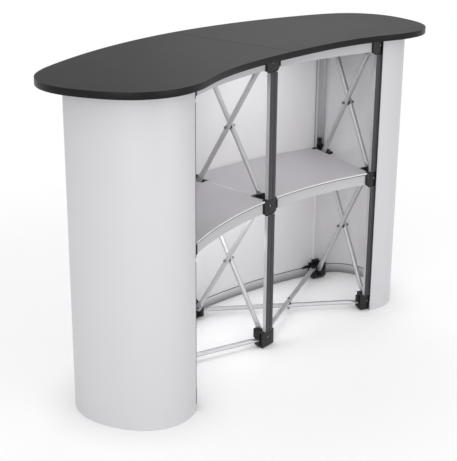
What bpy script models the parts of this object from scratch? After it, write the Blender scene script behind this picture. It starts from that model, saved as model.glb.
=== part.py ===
# Pop-up exhibition counter, curved in plan: a scissor frame of tubes and moulded hubs,
# snap-on bars, a two-part top, a two-part shelf and a flexible wrap panel.
#
# Frame of reference: metres, +Z up, the floor is z = 0. +X runs along the counter and +Y
# points to the convex public side. The hubs stand in a fan: three columns, each with a hub
# axis on the concave inner row and one on the convex outer row, at three levels.

import bmesh
import bpy
from math import asin, cos, pi, radians, sin, sqrt, tan
from mathutils import Matrix, Vector

# Fits and cuts
CLEARANCE = 0.0003
CUT_OVERRUN = 0.002

# Fan of the frame
INNER_RADIUS = 1.230
FRAME_DEPTH = 0.2915
COLUMN_ANGLE = radians(21.25)
LEVEL_SPACING = 0.437

# Hub moulding: x across, y outwards from the frame, z up, from the hub's own axis and centre
HUB_WIDTH = 0.057
HUB_RISE = 0.0225
HUB_DROP = 0.0285
HUB_FACE = 0.0198
HUB_PLATE_THICKNESS = 0.0138
HUB_FLANGE_THICKNESS = 0.0062
HUB_GROOVE_WIDTH = 0.005
NECK_INSET = 0.0045
NECK_LOWER = 0.002
HUB_CORNER = 0.0015
HUB_SHOULDER = 0.009
HUB_BACK = 0.012
BLOCK_RAISE = 0.004
FIN_RAISE = 0.005
FIN_REACH = 0.013
FIN_TIP_HEIGHT = 0.030
SIDE_PIVOT_INSET = 0.0065
PIVOT_RISE = 0.014
PIN_RADIUS = 0.0025
PIN_HEAD_RADIUS = 0.005
PIN_HEAD_HEIGHT = 0.002
RIVET_CAP_HEIGHT = 0.007
TONGUE_HEIGHT = 0.010
TONGUE_DEPTH = 0.008
FOOT_PAD_HEIGHT = 0.004
FOOT_PAD_INSET = 0.003
PEG_RADIUS = 0.004
PEG_HEIGHT = 0.009
PEG_SPACING = 0.030
PEG_HOLE_SPARE = 0.001

# Scissor tubes, pressed flat at both ends
TUBE_DIAMETER = 0.0155
TUBE_FLAT = 0.004
TUBE_FLAT_LENGTH = 0.012
TUBE_TAPER_LENGTH = 0.018
PAIR_GAP = 0.0011
PRESSED_SHARE = 0.35
UPRIGHT_CROSSING_SHARE = 0.5
TUBE_SIDES = 10

# Extruded bars between the hubs
BAR_WIDTH = 0.032
BAR_DEPTH = 0.0142
BAR_PROUD = 0.0039
BAR_WALL = 0.0016
BAR_FACE_WALL = 0.0033
BAR_GROOVE_WIDTH = 0.006
BAR_GROOVE_DEPTH = 0.0015

# Two-part top
TOP_THICKNESS = 0.019
TOP_EDGE_ROUND = 0.002
TOP_OUTER_OVERHANG = 0.0907
TOP_OUTER_SWELL = 0.0036
TOP_INNER_OVERHANG = 0.0699
TOP_INNER_SWELL = 0.0196
TOP_END_OVERHANG = 0.074
TOP_LOBE_FULLNESS = 0.8184

# Two-part shelf with a lip that hangs behind its front edge
SHELF_THICKNESS = 0.004
SHELF_FRONT_OVERHANG = 0.020
SHELF_BACK_OVERHANG = 0.0245
SHELF_SLOT_DEPTH = 0.048
APRON_FACE = 0.0115
APRON_THICKNESS = 0.0025
APRON_DROP = 0.0205

# Flexible wrap panel, its magnet strips and the strip along its foot
WRAP_THICKNESS = 0.0023
WRAP_LOBE_REACH = 0.159
WRAP_LOBE_FULLNESS = 0.9212
WRAP_STRAIGHT = 0.017
WRAP_END_INSET = 0.0035
MAGNET_THICKNESS = 0.003
MAGNET_WIDTH = 0.010
BASE_STRIP_THICKNESS = 0.003
BASE_STRIP_HEIGHT = 0.036
BASE_STRIP_LIFT = 0.001
MAGNET_BASE_GAP = 0.005

# How finely round stretches are divided
ROUND_STEPS = 8
PIN_STEPS = 6
LOBE_STEPS = 14
BAY_STEPS = 8

COLUMNS = ("left", "centre", "right")
BAYS = ("left", "right")
LEVELS = ("foot", "middle", "top")
TIERS = ("lower", "upper")
ROWS = ("inner", "outer")

# Sizes worked out from those above
OUTER_RADIUS = INNER_RADIUS + FRAME_DEPTH
HALF_HUB = HUB_WIDTH / 2
TOP_LOBE_REACH = WRAP_LOBE_REACH + TOP_END_OVERHANG
PLATE_BACK = HUB_FACE - HUB_PLATE_THICKNESS
FLANGE_BACK = HUB_FACE - HUB_FLANGE_THICKNESS
BLOCK_FRONT = FLANGE_BACK - HUB_GROOVE_WIDTH
TUBE_RADIUS = TUBE_DIAMETER / 2
PAIR_OFFSET = TUBE_RADIUS + PAIR_GAP / 2
FLAT_HALF_WIDTH = (pi * (TUBE_DIAMETER - TUBE_FLAT) / 2 + TUBE_FLAT) / 2
FIN_HALF = PAIR_OFFSET - TUBE_FLAT / 2 - CLEARANCE
SEAT_HEIGHT = PAIR_OFFSET + TUBE_RADIUS
SIDE_PIVOT_X = HALF_HUB - SIDE_PIVOT_INSET
SIDE_PIVOT_Y = PLATE_BACK - CLEARANCE - FLAT_HALF_WIDTH
CORE_HALF = SIDE_PIVOT_X - FLAT_HALF_WIDTH - CLEARANCE
FIN_PIVOT_Y = -(HUB_BACK + CLEARANCE + FLAT_HALF_WIDTH)
BAR_FACE = HUB_FACE + BAR_PROUD
BAR_INNER_FACE = BAR_FACE - BAR_FACE_WALL
WRAP_INNER_FACE = BAR_FACE + CLEARANCE + MAGNET_THICKNESS
FOOT_CENTRE = FOOT_PAD_HEIGHT + HUB_DROP
LEVEL_CENTRES = [FOOT_CENTRE + LEVEL_SPACING * level for level in range(len(LEVELS))]
TOP_UNDERSIDE = LEVEL_CENTRES[-1] + HUB_RISE + CLEARANCE
TOP_SURFACE = TOP_UNDERSIDE + TOP_THICKNESS
SHELF_UNDERSIDE = LEVEL_CENTRES[1] + SEAT_HEIGHT + CLEARANCE
ROW_RADIUS = {"inner": INNER_RADIUS, "outer": OUTER_RADIUS}
COLUMN_ANGLES = {"left": -COLUMN_ANGLE, "centre": 0, "right": COLUMN_ANGLE}


# Scene, materials and small tools

def clear_scene():
    for old in list(bpy.data.objects):
        bpy.data.objects.remove(old)


def make_collection(name):
    collection = bpy.data.collections.new(name)
    bpy.context.scene.collection.children.link(collection)
    return collection


def material(name, colour, roughness, metallic=0):
    made = bpy.data.materials.new(name)
    made.use_nodes = True
    shader = made.node_tree.nodes["Principled BSDF"]
    shader.inputs["Base Color"].default_value = (*colour, 1)
    shader.inputs["Roughness"].default_value = roughness
    shader.inputs["Metallic"].default_value = metallic
    made.diffuse_color = (*colour, 1)
    return made


def mesh_object(name, bm):
    mesh = bpy.data.meshes.new(name)
    bm.to_mesh(mesh)
    bm.free()
    made = bpy.data.objects.new(name, mesh)
    CUTTERS.objects.link(made)
    made.hide_render = True
    made.display_type = "WIRE"
    return made


def tidy_mesh(mesh):
    bm = bmesh.new()
    bm.from_mesh(mesh)
    bmesh.ops.remove_doubles(bm, verts=bm.verts, dist=CLEARANCE / 100)
    bmesh.ops.dissolve_limit(bm, angle_limit=radians(0.1), verts=bm.verts, edges=bm.edges)
    bm.to_mesh(mesh)
    bm.free()


def baked(source):
    # The object as its modifiers leave it, as a plain mesh object in the same place.
    bpy.context.view_layer.update()
    evaluated = source.evaluated_get(bpy.context.evaluated_depsgraph_get())
    mesh = bpy.data.meshes.new_from_object(evaluated)
    tidy_mesh(mesh)
    name = source.name
    matrix = source.matrix_world.copy()
    bpy.data.objects.remove(source)
    mesh.name = name
    made = bpy.data.objects.new(name, mesh)
    CUTTERS.objects.link(made)
    made.hide_render = True
    made.display_type = "WIRE"
    made.matrix_world = matrix
    return made


def combined(base, tools, operation):
    for tool in tools:
        step = base.modifiers.new(operation.lower(), "BOOLEAN")
        step.operation = operation
        step.object = tool
    result = baked(base)
    for tool in tools:
        bpy.data.objects.remove(tool)
    return result


def box(name, low, high):
    low, high = Vector(low), Vector(high)
    bm = bmesh.new()
    size = high - low
    place = Matrix.Translation((low + high) / 2) @ Matrix.Diagonal((*size, 1))
    bmesh.ops.create_cube(bm, size=1, matrix=place)
    return mesh_object(name, bm)


def cylinder(name, radius, start, end, sides=ROUND_STEPS):
    # A round pin from one point to another.
    start, end = Vector(start), Vector(end)
    along = end - start
    turn = along.to_track_quat("Z", "Y").to_matrix().to_4x4()
    half_side = Matrix.Rotation(pi / sides, 4, "Z")
    bm = bmesh.new()
    bmesh.ops.create_cone(bm, cap_ends=True, segments=sides, radius1=radius, radius2=radius,
                          depth=along.length, matrix=Matrix.Translation((start + end) / 2) @ turn @ half_side)
    return mesh_object(name, bm)


def hole_radius(radius, sides=ROUND_STEPS):
    # A faceted hole whose flats, and not only its corners, clear the pin.
    return (radius + CLEARANCE) / cos(pi / sides)


def outline_plate(name, points, bottom, top):
    # A flat outline given a thickness, as a mesh.
    curve = bpy.data.curves.new(name, "CURVE")
    curve.dimensions = "2D"
    curve.fill_mode = "BOTH"
    curve.extrude = (top - bottom) / 2
    spline = curve.splines.new("POLY")
    spline.points.add(len(points[1:]))
    for place, (x, y) in zip(spline.points, points):
        place.co = (x, y, 0, 1)
    spline.use_cyclic_u = True
    flat = bpy.data.objects.new(name, curve)
    CUTTERS.objects.link(flat)
    flat.location.z = (top + bottom) / 2
    return baked(flat)


def skin_rings(bm, rings):
    # Faces between rings of the same number of points, and a flat cap on both ends.
    for ring, following in zip(rings, rings[1:]):
        for step in range(len(ring)):
            after = (step + 1) % len(ring)
            bm.faces.new((ring[step], following[step], following[after], ring[after]))
    bm.faces.new(rings[0])
    bm.faces.new(list(reversed(rings[-1])))
    bmesh.ops.recalc_face_normals(bm, faces=bm.faces)


def settle(made, matrix):
    # Writes a placement into the mesh, so that later cuts see it where it stands.
    made.data.transform(matrix @ made.matrix_world)
    made.matrix_world = Matrix.Identity(4)
    return made


def bevelled(made, width, segments):
    rounding = made.modifiers.new("rounded edges", "BEVEL")
    rounding.width = width
    rounding.segments = segments
    rounding.limit_method = "ANGLE"
    rounding.angle_limit = radians(50)
    return baked(made)


def finish_piece(made, name, finish, matrix=None):
    for collection in list(made.users_collection):
        collection.objects.unlink(made)
    COUNTER.objects.link(made)
    made.name = name
    made.hide_render = False
    made.display_type = "TEXTURED"
    made.data.materials.clear()
    made.data.materials.append(finish)
    made.data.shade_smooth()
    made.data.set_sharp_from_angle(angle=radians(30))
    if matrix is not None:
        made.matrix_world = matrix
    return made


def finish_copy(mesh, name, matrix):
    made = bpy.data.objects.new(name, mesh)
    COUNTER.objects.link(made)
    made.matrix_world = matrix
    return made


# Places in the fan

def lobe_point(near, far, reach, fullness, straight, turn):
    # A point of the rounded end beyond a column: how far out from the fan's centre and how far
    # along the tangent, for a turn of 0 on the near side to pi on the far side.
    middle = (near + far) / 2
    half = (far - near) / 2
    side = -1 if cos(turn) < 0 else 1
    out = middle - half * side * abs(cos(turn)) ** fullness
    along = straight + (reach - straight) * abs(sin(turn)) ** fullness
    return out, along


def lobe_points(near, far, reach, fullness, straight):
    # The rounded end beyond the right column, from the near side round to the far side.
    outward = Vector((sin(COLUMN_ANGLE), cos(COLUMN_ANGLE)))
    tangent = Vector((cos(COLUMN_ANGLE), -sin(COLUMN_ANGLE)))
    points = []
    for step in range(LOBE_STEPS + 1):
        turn = pi * step / LOBE_STEPS
        out, along = lobe_point(near, far, reach, fullness, straight, turn)
        points.append(outward * out + tangent * along)
    return points


def bay_arc(radius, swell, first, last):
    # An arc across the right bay between two angles, pushed out by the swell in the middle.
    points = []
    for step in range(BAY_STEPS + 1):
        angle = first + (last - first) * step / BAY_STEPS
        reach = radius + swell * cos(pi / 2 * angle / COLUMN_ANGLE) ** 2
        points.append(Vector((reach * sin(angle), reach * cos(angle))))
    return points


def top_half_outline():
    near = INNER_RADIUS - TOP_INNER_OVERHANG
    far = OUTER_RADIUS + TOP_OUTER_OVERHANG
    seam_near = asin(CLEARANCE / 2 / (near - TOP_INNER_SWELL))
    seam_far = asin(CLEARANCE / 2 / (far + TOP_OUTER_SWELL))
    inner = bay_arc(near, -TOP_INNER_SWELL, seam_near, COLUMN_ANGLE)
    outer = bay_arc(far, TOP_OUTER_SWELL, COLUMN_ANGLE, seam_far)
    lobe = lobe_points(near, far, TOP_LOBE_REACH, TOP_LOBE_FULLNESS, 0)
    return inner + lobe[1:-1] + outer


TOP_HALF = top_half_outline()
FAN_CENTRE = Matrix.Translation((0, -(max(p.y for p in TOP_HALF) + min(p.y for p in TOP_HALF)) / 2, 0))


def hub_frame(row, column, height=0):
    # The hub's own axes: y points out of the frame, away from the other row.
    angle = COLUMN_ANGLES[column]
    facing = -angle if row == "outer" else pi - angle
    radius = ROW_RADIUS[row]
    place = Matrix.Translation((radius * sin(angle), radius * cos(angle), height))
    return FAN_CENTRE @ place @ Matrix.Rotation(facing, 4, "Z")


def mirrored(points):
    return [Vector((-p.x, p.y)) for p in reversed(points)]


# Hubs

def hub_outline(inset, low, high, shouldered):
    # Across the hub, its lower corners cut off at the shoulders where it has them.
    half = HALF_HUB - inset
    shoulder = HUB_SHOULDER - inset * sqrt(2) * tan(pi / 8)
    foot = low + inset
    lower = [(half - shoulder, foot), (half, foot + shoulder)] if shouldered else [(half, foot)]
    return [(-x, z) for x, z in reversed(lower)] + lower + [(half, high - inset), (-half, high - inset)]


def hub_flange(shouldered):
    # The plate at the hub's face, with a chamfer round its front.
    layers = ((0, FLANGE_BACK), (0, HUB_FACE - HUB_CORNER), (HUB_CORNER, HUB_FACE))
    bm = bmesh.new()
    rings = [[bm.verts.new((x, y, z)) for x, z in hub_outline(inset, -HUB_DROP, HUB_RISE, shouldered)]
             for inset, y in layers]
    skin_rings(bm, rings)
    return mesh_object("hub flange", bm)


def hub_neck():
    # Joins the flange to the block, narrower than both, which leaves a groove down each side.
    half = HALF_HUB - NECK_INSET
    return box("hub neck", (-half, BLOCK_FRONT - HUB_CORNER, -HUB_DROP + BLOCK_RAISE * 2),
               (half, FLANGE_BACK + HUB_CORNER, HUB_RISE - NECK_LOWER))


def hub_block(shouldered):
    # The block behind the neck, with one socket a side for the flat end of a tube.
    outline = hub_outline(0, -HUB_DROP + BLOCK_RAISE, SEAT_HEIGHT, shouldered)
    # The outline was drawn flat: its y becomes the hub's z, its thickness runs along y.
    upright = Matrix.Rotation(pi / 2, 4, "X")
    block = settle(outline_plate("hub block", outline, -BLOCK_FRONT, HUB_BACK), upright)
    half_slot = TUBE_FLAT / 2 + CLEARANCE
    reach = HALF_HUB + CUT_OVERRUN
    sockets = [
        box("upper socket", (-reach, -HUB_BACK - CUT_OVERRUN, PAIR_OFFSET - half_slot),
            (-CORE_HALF, PLATE_BACK, PAIR_OFFSET + half_slot)),
        box("lower socket", (CORE_HALF, -HUB_BACK - CUT_OVERRUN, -PAIR_OFFSET - half_slot),
            (reach, PLATE_BACK, -PAIR_OFFSET + half_slot)),
    ]
    return combined(block, sockets, "DIFFERENCE")


def hub_fin():
    # The upright fin that carries the upright scissors on both its sides.
    root_low = -HUB_DROP + FIN_RAISE
    tip = FIN_PIVOT_Y - FIN_REACH
    half_tip = FIN_TIP_HEIGHT / 2
    root_high = HUB_RISE - HUB_CORNER
    front = BLOCK_FRONT + HUB_GROOVE_WIDTH / 2
    profile = [(front, root_low), (-HUB_BACK, root_low), (tip, -half_tip),
               (tip, half_tip), (-HUB_BACK, root_high), (front, root_high)]
    fin = outline_plate("hub fin", profile, -FIN_HALF, FIN_HALF)
    # The profile was drawn flat: its x becomes the hub's y, its y becomes z.
    upright = Matrix(((0, 0, 1, 0), (1, 0, 0, 0), (0, 1, 0, 0), (0, 0, 0, 1)))
    return settle(fin, upright)


def fin_pin(side, height):
    # A pin with a head that holds the end of an upright tube against the fin.
    inside = side * FIN_HALF / 2
    flat_outer = side * (PAIR_OFFSET + TUBE_FLAT / 2 + CLEARANCE)
    head_end = flat_outer + side * PIN_HEAD_HEIGHT
    shank_end = flat_outer + side * PIN_HEAD_HEIGHT / 2
    ends = (inside, FIN_PIVOT_Y, height), (shank_end, FIN_PIVOT_Y, height)
    shank = cylinder("pin", PIN_RADIUS, *ends, PIN_STEPS)
    head = cylinder("pin head", PIN_HEAD_RADIUS, (flat_outer, FIN_PIVOT_Y, height),
                    (head_end, FIN_PIVOT_Y, height))
    return [shank, head]


def socket_pin(side):
    # The pin across a socket: the upper socket is on the -x side, the lower one on the +x side.
    middle = -side * PAIR_OFFSET
    half = TUBE_FLAT / 2 + CLEARANCE * 2
    x = side * SIDE_PIVOT_X
    ends = (x, SIDE_PIVOT_Y, middle - half), (x, SIDE_PIVOT_Y, middle + half)
    return cylinder("socket pin", PIN_RADIUS, *ends, PIN_STEPS)


def tongue(direction):
    # The tongue that a bar hooks over.
    half = BAR_WIDTH / 2 - BAR_WALL - CLEARANCE
    front = BAR_INNER_FACE - CLEARANCE
    face = HUB_RISE if direction > 0 else -HUB_DROP
    ends = sorted((face - direction * HUB_CORNER, face + direction * TONGUE_HEIGHT))
    return box("tongue", (-half, front - TONGUE_DEPTH, ends[0]), (half, front, ends[1]))


def top_pegs():
    middle = PLATE_BACK + HUB_PLATE_THICKNESS / 2
    low, high = HUB_RISE - HUB_CORNER * 2, HUB_RISE + PEG_HEIGHT
    places = [side * PEG_SPACING / 2 for side in (-1, 1)]
    return [cylinder("peg", PEG_RADIUS, (x, middle, low), (x, middle, high)) for x in places]


def foot_pad():
    half = HALF_HUB - HUB_CORNER - FOOT_PAD_INSET
    return box("foot pad", (-half, -HUB_BACK + FOOT_PAD_INSET, -HUB_DROP - FOOT_PAD_HEIGHT),
               (half, HUB_FACE - HUB_CORNER - FOOT_PAD_INSET, -HUB_DROP + BLOCK_RAISE + HUB_CORNER))


def make_hub(level, sides):
    shouldered = level != "foot"
    pieces = [hub_neck(), hub_block(shouldered), hub_fin()]
    if level != "top":
        pieces += fin_pin(-1, PIVOT_RISE)
        pieces.append(tongue(1))
    if level != "foot":
        pieces += fin_pin(1, -PIVOT_RISE)
        pieces.append(tongue(-1))
    if level == "top":
        pieces += top_pegs()
    if level == "foot":
        pieces.append(foot_pad())
    pieces += [socket_pin(side) for side in sides]
    return combined(hub_flange(shouldered), pieces, "UNION")


def make_hubs():
    plastic = material("black moulded nylon", (0.021, 0.021, 0.023), 0.5)
    # On its own x axis a hub has a tube on the -x side, the +x side or both.
    socket_sides = {("inner", "left"): (-1,), ("inner", "centre"): (-1, 1), ("inner", "right"): (1,),
                    ("outer", "left"): (1,), ("outer", "centre"): (-1, 1), ("outer", "right"): (-1,)}
    made = {}
    for level, height in zip(LEVELS, LEVEL_CENTRES):
        for (row, column), sides in socket_sides.items():
            name = f"hub_{row}_{column}_{level}"
            place = hub_frame(row, column, height)
            if (level, sides) in made:
                finish_copy(made[level, sides], name, place)
            else:
                hub = finish_piece(make_hub(level, sides), name, plastic, place)
                made[level, sides] = hub.data


# Scissor tubes

def tube_ring(bm, station, half_width, half_thickness, pressed):
    # One section across the tube: a circle in its run, or a pressed one with flat faces.
    ring = []
    for step in range(TUBE_SIDES):
        turn = 2 * pi * step / TUBE_SIDES
        across, up = cos(turn), sin(turn)
        if pressed:
            across = abs(across) ** PRESSED_SHARE * (1 if across > 0 else -1)
            up = 0 if step in (0, TUBE_SIDES // 2) else 1 if up > 0 else -1
        ring.append(bm.verts.new((station, half_width * across, half_thickness * up)))
    return ring


def make_tube(name, length, crossing, carries_rivet, outer_cap):
    # Lies along x from pivot to pivot, its pins along z. The other tube of the pair crosses
    # below it, towards -z, at the crossing.
    flat = TUBE_FLAT / 2
    half_stations = [(-FLAT_HALF_WIDTH * cos(turn), FLAT_HALF_WIDTH * sin(turn), flat, True)
                     for turn in (radians(20), radians(60))]
    half_stations.append((TUBE_FLAT_LENGTH, FLAT_HALF_WIDTH, flat, True))
    half_stations.append((TUBE_FLAT_LENGTH + TUBE_TAPER_LENGTH, TUBE_RADIUS, TUBE_RADIUS, False))
    stations = half_stations + [(length - x, *section) for x, *section in reversed(half_stations)]
    bm = bmesh.new()
    rings = [tube_ring(bm, *station) for station in stations]
    skin_rings(bm, rings)
    tube = mesh_object(name, bm)
    hole = hole_radius(PIN_RADIUS, PIN_STEPS)
    deep = TUBE_RADIUS + CUT_OVERRUN
    holes = [cylinder("pin hole", hole, (x, 0, -flat - CUT_OVERRUN), (x, 0, flat + CUT_OVERRUN), PIN_STEPS)
             for x in (0, length)]
    if not carries_rivet:
        holes.append(cylinder("rivet hole", hole, (crossing, 0, -deep), (crossing, 0, deep), PIN_STEPS))
        return combined(tube, holes, "DIFFERENCE")
    tube = combined(tube, holes, "DIFFERENCE")
    mate_far_side = -(2 * PAIR_OFFSET + TUBE_RADIUS + CLEARANCE)
    shank_end = mate_far_side - RIVET_CAP_HEIGHT / 2
    rivet = [
        cylinder("rivet", PIN_RADIUS, (crossing, 0, 0), (crossing, 0, shank_end), PIN_STEPS),
        cylinder("rivet cap", PIN_HEAD_RADIUS, (crossing, 0, mate_far_side),
                 (crossing, 0, mate_far_side - RIVET_CAP_HEIGHT)),
    ]
    if outer_cap:
        rivet.append(cylinder("outer rivet cap", PIN_HEAD_RADIUS, (crossing, 0, TUBE_RADIUS / 2),
                              (crossing, 0, TUBE_RADIUS + RIVET_CAP_HEIGHT)))
    return combined(tube, rivet, "UNION")


def between(start, end, pin_axis):
    # The placement that lays a tube from one pivot to the other, its pins along the given axis.
    along = (end - start).normalized()
    across = pin_axis.cross(along).normalized()
    turn = Matrix((along, across, along.cross(across))).transposed().to_4x4()
    return Matrix.Translation(start) @ turn


def fin_pivot(row, column, level, going_up):
    # Where an upright tube turns on a hub.
    side = -1 if going_up else 1
    height = PIVOT_RISE if going_up else -PIVOT_RISE
    return hub_frame(row, column, LEVEL_CENTRES[level]) @ Vector((side * PAIR_OFFSET, FIN_PIVOT_Y, height))


def side_pivot(row, column, level, side):
    # Where a level tube turns on a hub, on its -x or +x side.
    place = hub_frame(row, column, LEVEL_CENTRES[level])
    return place @ Vector((side * SIDE_PIVOT_X, SIDE_PIVOT_Y, -side * PAIR_OFFSET))


def pair_meshes(name, start, end, crossing_share, finish, outer_cap):
    length = (end - start).length
    crossing = length * crossing_share
    pair = []
    for suffix, carries in (("a", True), ("b", False)):
        tube = make_tube(f"{name}_{suffix}", length, crossing, carries, outer_cap)
        tube.data.materials.append(finish)
        tube.data.shade_smooth()
        tube.data.set_sharp_from_angle(angle=radians(30))
        pair.append(tube.data)
        bpy.data.objects.remove(tube)
    return pair


def make_upright_scissors(finish):
    # In each column, tube a rises from the inner row to the outer row, tube b the other way.
    meshes = None
    for column in COLUMNS:
        tangent = hub_frame("outer", column).to_3x3() @ Vector((1, 0, 0))
        for tier, tier_name in enumerate(TIERS):
            rising = (fin_pivot("inner", column, tier, True), fin_pivot("outer", column, tier + 1, False))
            falling = (fin_pivot("outer", column, tier, True), fin_pivot("inner", column, tier + 1, False))
            if meshes is None:
                meshes = pair_meshes("upright", *rising, UPRIGHT_CROSSING_SHARE, finish, True)
            name = f"upright_scissor_{column}_{tier_name}"
            finish_copy(meshes[0], f"{name}_a", between(*rising, tangent))
            finish_copy(meshes[1], f"{name}_b", between(*falling, tangent))


def make_level_scissors(finish):
    # In each bay, tube a runs above tube b. Both start on the inner row.
    up = hub_frame("inner", "centre").to_3x3().col[2]
    inner_span = (side_pivot("inner", "centre", 0, -1) - side_pivot("inner", "right", 0, 1)).xy.length
    outer_span = (side_pivot("outer", "centre", 0, 1) - side_pivot("outer", "right", 0, -1)).xy.length
    crossing_share = inner_span / (inner_span + outer_span)
    meshes = None
    for bay, (left, right) in zip(BAYS, zip(COLUMNS, COLUMNS[1:])):
        for level, level_name in enumerate(LEVELS):
            upper = (side_pivot("inner", left, level, -1), side_pivot("outer", right, level, -1))
            lower = (side_pivot("inner", right, level, 1), side_pivot("outer", left, level, 1))
            if meshes is None:
                meshes = pair_meshes("level", *upper, crossing_share, finish, False)
            name = f"level_scissor_{bay}_{level_name}"
            finish_copy(meshes[0], f"{name}_a", between(*upper, up))
            finish_copy(meshes[1], f"{name}_b", between(*lower, up))


# Bars

def bar_profile():
    half, groove = BAR_WIDTH / 2, BAR_GROOVE_WIDTH / 2
    back = BAR_FACE - BAR_DEPTH
    groove_floor = BAR_FACE - BAR_GROOVE_DEPTH
    right = [(groove, groove_floor), (groove, BAR_FACE), (half, BAR_FACE), (half, back),
             (half - BAR_WALL, back), (half - BAR_WALL, BAR_INNER_FACE)]
    return right + [(-x, y) for x, y in reversed(right)]


def make_bars():
    finish = material("black anodised aluminium", (0.058, 0.058, 0.062), 0.4, 0.6)
    length = LEVEL_SPACING - HUB_RISE - HUB_DROP - 2 * CLEARANCE
    bar = finish_piece(outline_plate("bar", bar_profile(), 0, length), "bar", finish)
    mesh = bar.data
    mesh.transform(bar.matrix_world)
    bpy.data.objects.remove(bar)
    for row in ROWS:
        for column in COLUMNS:
            for tier, tier_name in enumerate(TIERS):
                # The outer row has bars in its upper tier only.
                if row == "outer" and tier == 0:
                    continue
                bottom = LEVEL_CENTRES[tier] + HUB_RISE + CLEARANCE
                finish_copy(mesh, f"bar_{row}_{column}_{tier_name}", hub_frame(row, column, bottom))


# Top, aprons and shelf

def make_tops():
    finish = material("grey laminate", (0.095, 0.095, 0.1), 0.35)
    peg_y = PLATE_BACK + HUB_PLATE_THICKNESS / 2
    hole = hole_radius(PEG_RADIUS)
    for side, name in zip((-1, 1), BAYS):
        outline = TOP_HALF if side > 0 else mirrored(TOP_HALF)
        board = settle(outline_plate("board", outline, TOP_UNDERSIDE, TOP_SURFACE), FAN_CENTRE)
        board = bevelled(board, TOP_EDGE_ROUND, 1)
        holes = []
        for row in ROWS:
            for column in ("centre", name):
                for peg_side in (-1, 1):
                    place = hub_frame(row, column)
                    spot = place @ Vector((peg_side * PEG_SPACING / 2, peg_y, 0))
                    if spot.x * side < 0:
                        continue
                    low = Vector((spot.x, spot.y, TOP_UNDERSIDE - CUT_OVERRUN))
                    high = Vector((spot.x, spot.y, TOP_UNDERSIDE + PEG_HEIGHT + PEG_HOLE_SPARE))
                    holes.append(cylinder("peg hole", hole, low, high))
        finish_piece(combined(board, holes, "DIFFERENCE"), f"counter_top_{name}", finish)


def apron_outline():
    # A band across the right bay, from the side of one inner hub to the side of the next.
    start = HALF_HUB + CLEARANCE
    front = INNER_RADIUS - APRON_FACE
    back = front + APRON_THICKNESS
    near = [asin(start / front), COLUMN_ANGLE - asin(start / front)]
    far = [COLUMN_ANGLE - asin(start / back), asin(start / back)]
    return bay_arc(front, 0, *near) + bay_arc(back, 0, *far)


def make_aprons():
    finish = material("white rigid plastic", (0.62, 0.61, 0.63), 0.45)
    bottom = LEVEL_CENTRES[-1] - APRON_DROP
    top = TOP_UNDERSIDE - CLEARANCE
    for side, name in zip((-1, 1), BAYS):
        outline = apron_outline() if side > 0 else mirrored(apron_outline())
        band = settle(outline_plate("apron", outline, bottom, top), FAN_CENTRE)
        finish_piece(band, f"top_apron_{name}", finish)


def shelf_outline():
    # The right half between the centre column's plane and the slot beside the right column.
    front = INNER_RADIUS - SHELF_FRONT_OVERHANG
    back = OUTER_RADIUS + SHELF_BACK_OVERHANG
    slot = PAIR_OFFSET + TUBE_RADIUS + PAIR_GAP
    seam = CLEARANCE / 2
    inner = bay_arc(front, 0, asin(seam / front), COLUMN_ANGLE - asin(slot / front))
    outer = bay_arc(back, 0, COLUMN_ANGLE - asin(slot / back), asin(seam / back))
    return inner + outer


def make_shelves():
    finish = material("pale grey laminate", (0.47, 0.46, 0.48), 0.4)
    slot = PAIR_OFFSET + TUBE_RADIUS + PAIR_GAP
    wide = HALF_HUB + CLEARANCE
    beyond = max(SHELF_FRONT_OVERHANG, SHELF_BACK_OVERHANG) + CUT_OVERRUN
    surface = SHELF_UNDERSIDE + SHELF_THICKNESS
    low = LEVEL_CENTRES[1] - HUB_DROP - CUT_OVERRUN
    high = surface + CUT_OVERRUN
    for side, name in zip((-1, 1), BAYS):
        outline = shelf_outline() if side > 0 else mirrored(shelf_outline())
        lip_outline = apron_outline() if side > 0 else mirrored(apron_outline())
        panel = settle(outline_plate("shelf", outline, SHELF_UNDERSIDE, surface), FAN_CENTRE)
        lip = settle(outline_plate("lip", lip_outline, LEVEL_CENTRES[1] - APRON_DROP,
                                   SHELF_UNDERSIDE + SHELF_THICKNESS / 2), FAN_CENTRE)
        panel = combined(panel, [lip], "UNION")
        notches = []
        for row in ROWS:
            for column in ("centre", name):
                around_plate = box("plate notch", (-wide, PLATE_BACK - CLEARANCE, low), (wide, beyond, high))
                around_fin = box("fin slot", (-slot, -SHELF_SLOT_DEPTH, low), (slot, PLATE_BACK, high))
                place = hub_frame(row, column)
                notches += [settle(around_plate, place), settle(around_fin, place)]
        finish_piece(combined(panel, notches, "DIFFERENCE"), f"shelf_{name}", finish)


# Wrap panel

def wrap_path(inset):
    # Along the inside of the wrap from its end on the inner left bar, round the outer side, to
    # its end on the inner right bar, moved towards the frame by the inset.
    near = INNER_RADIUS - WRAP_INNER_FACE
    far = OUTER_RADIUS + WRAP_INNER_FACE
    outward = Vector((sin(COLUMN_ANGLE), cos(COLUMN_ANGLE)))
    tangent = Vector((cos(COLUMN_ANGLE), -sin(COLUMN_ANGLE)))
    lobe = lobe_points(near, far, WRAP_LOBE_REACH, WRAP_LOBE_FULLNESS, WRAP_STRAIGHT)
    end = outward * near + tangent * WRAP_END_INSET
    right = bay_arc(far, 0, 0, COLUMN_ANGLE) + list(reversed(lobe)) + [end]
    left = list(reversed(mirrored(right)))
    path = list(reversed(left)) + right[1:]
    return offset_path(path, inset)


def offset_path(path, distance):
    # Each point moves to the right of the way that the path runs.
    moved = []
    for index, point in enumerate(path):
        before = path[max(index - 1, 0)]
        after = path[min(index + 1, len(path) - 1)]
        along = (after - before).normalized()
        moved.append(point + Vector((along.y, -along.x)) * distance)
    return moved


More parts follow.
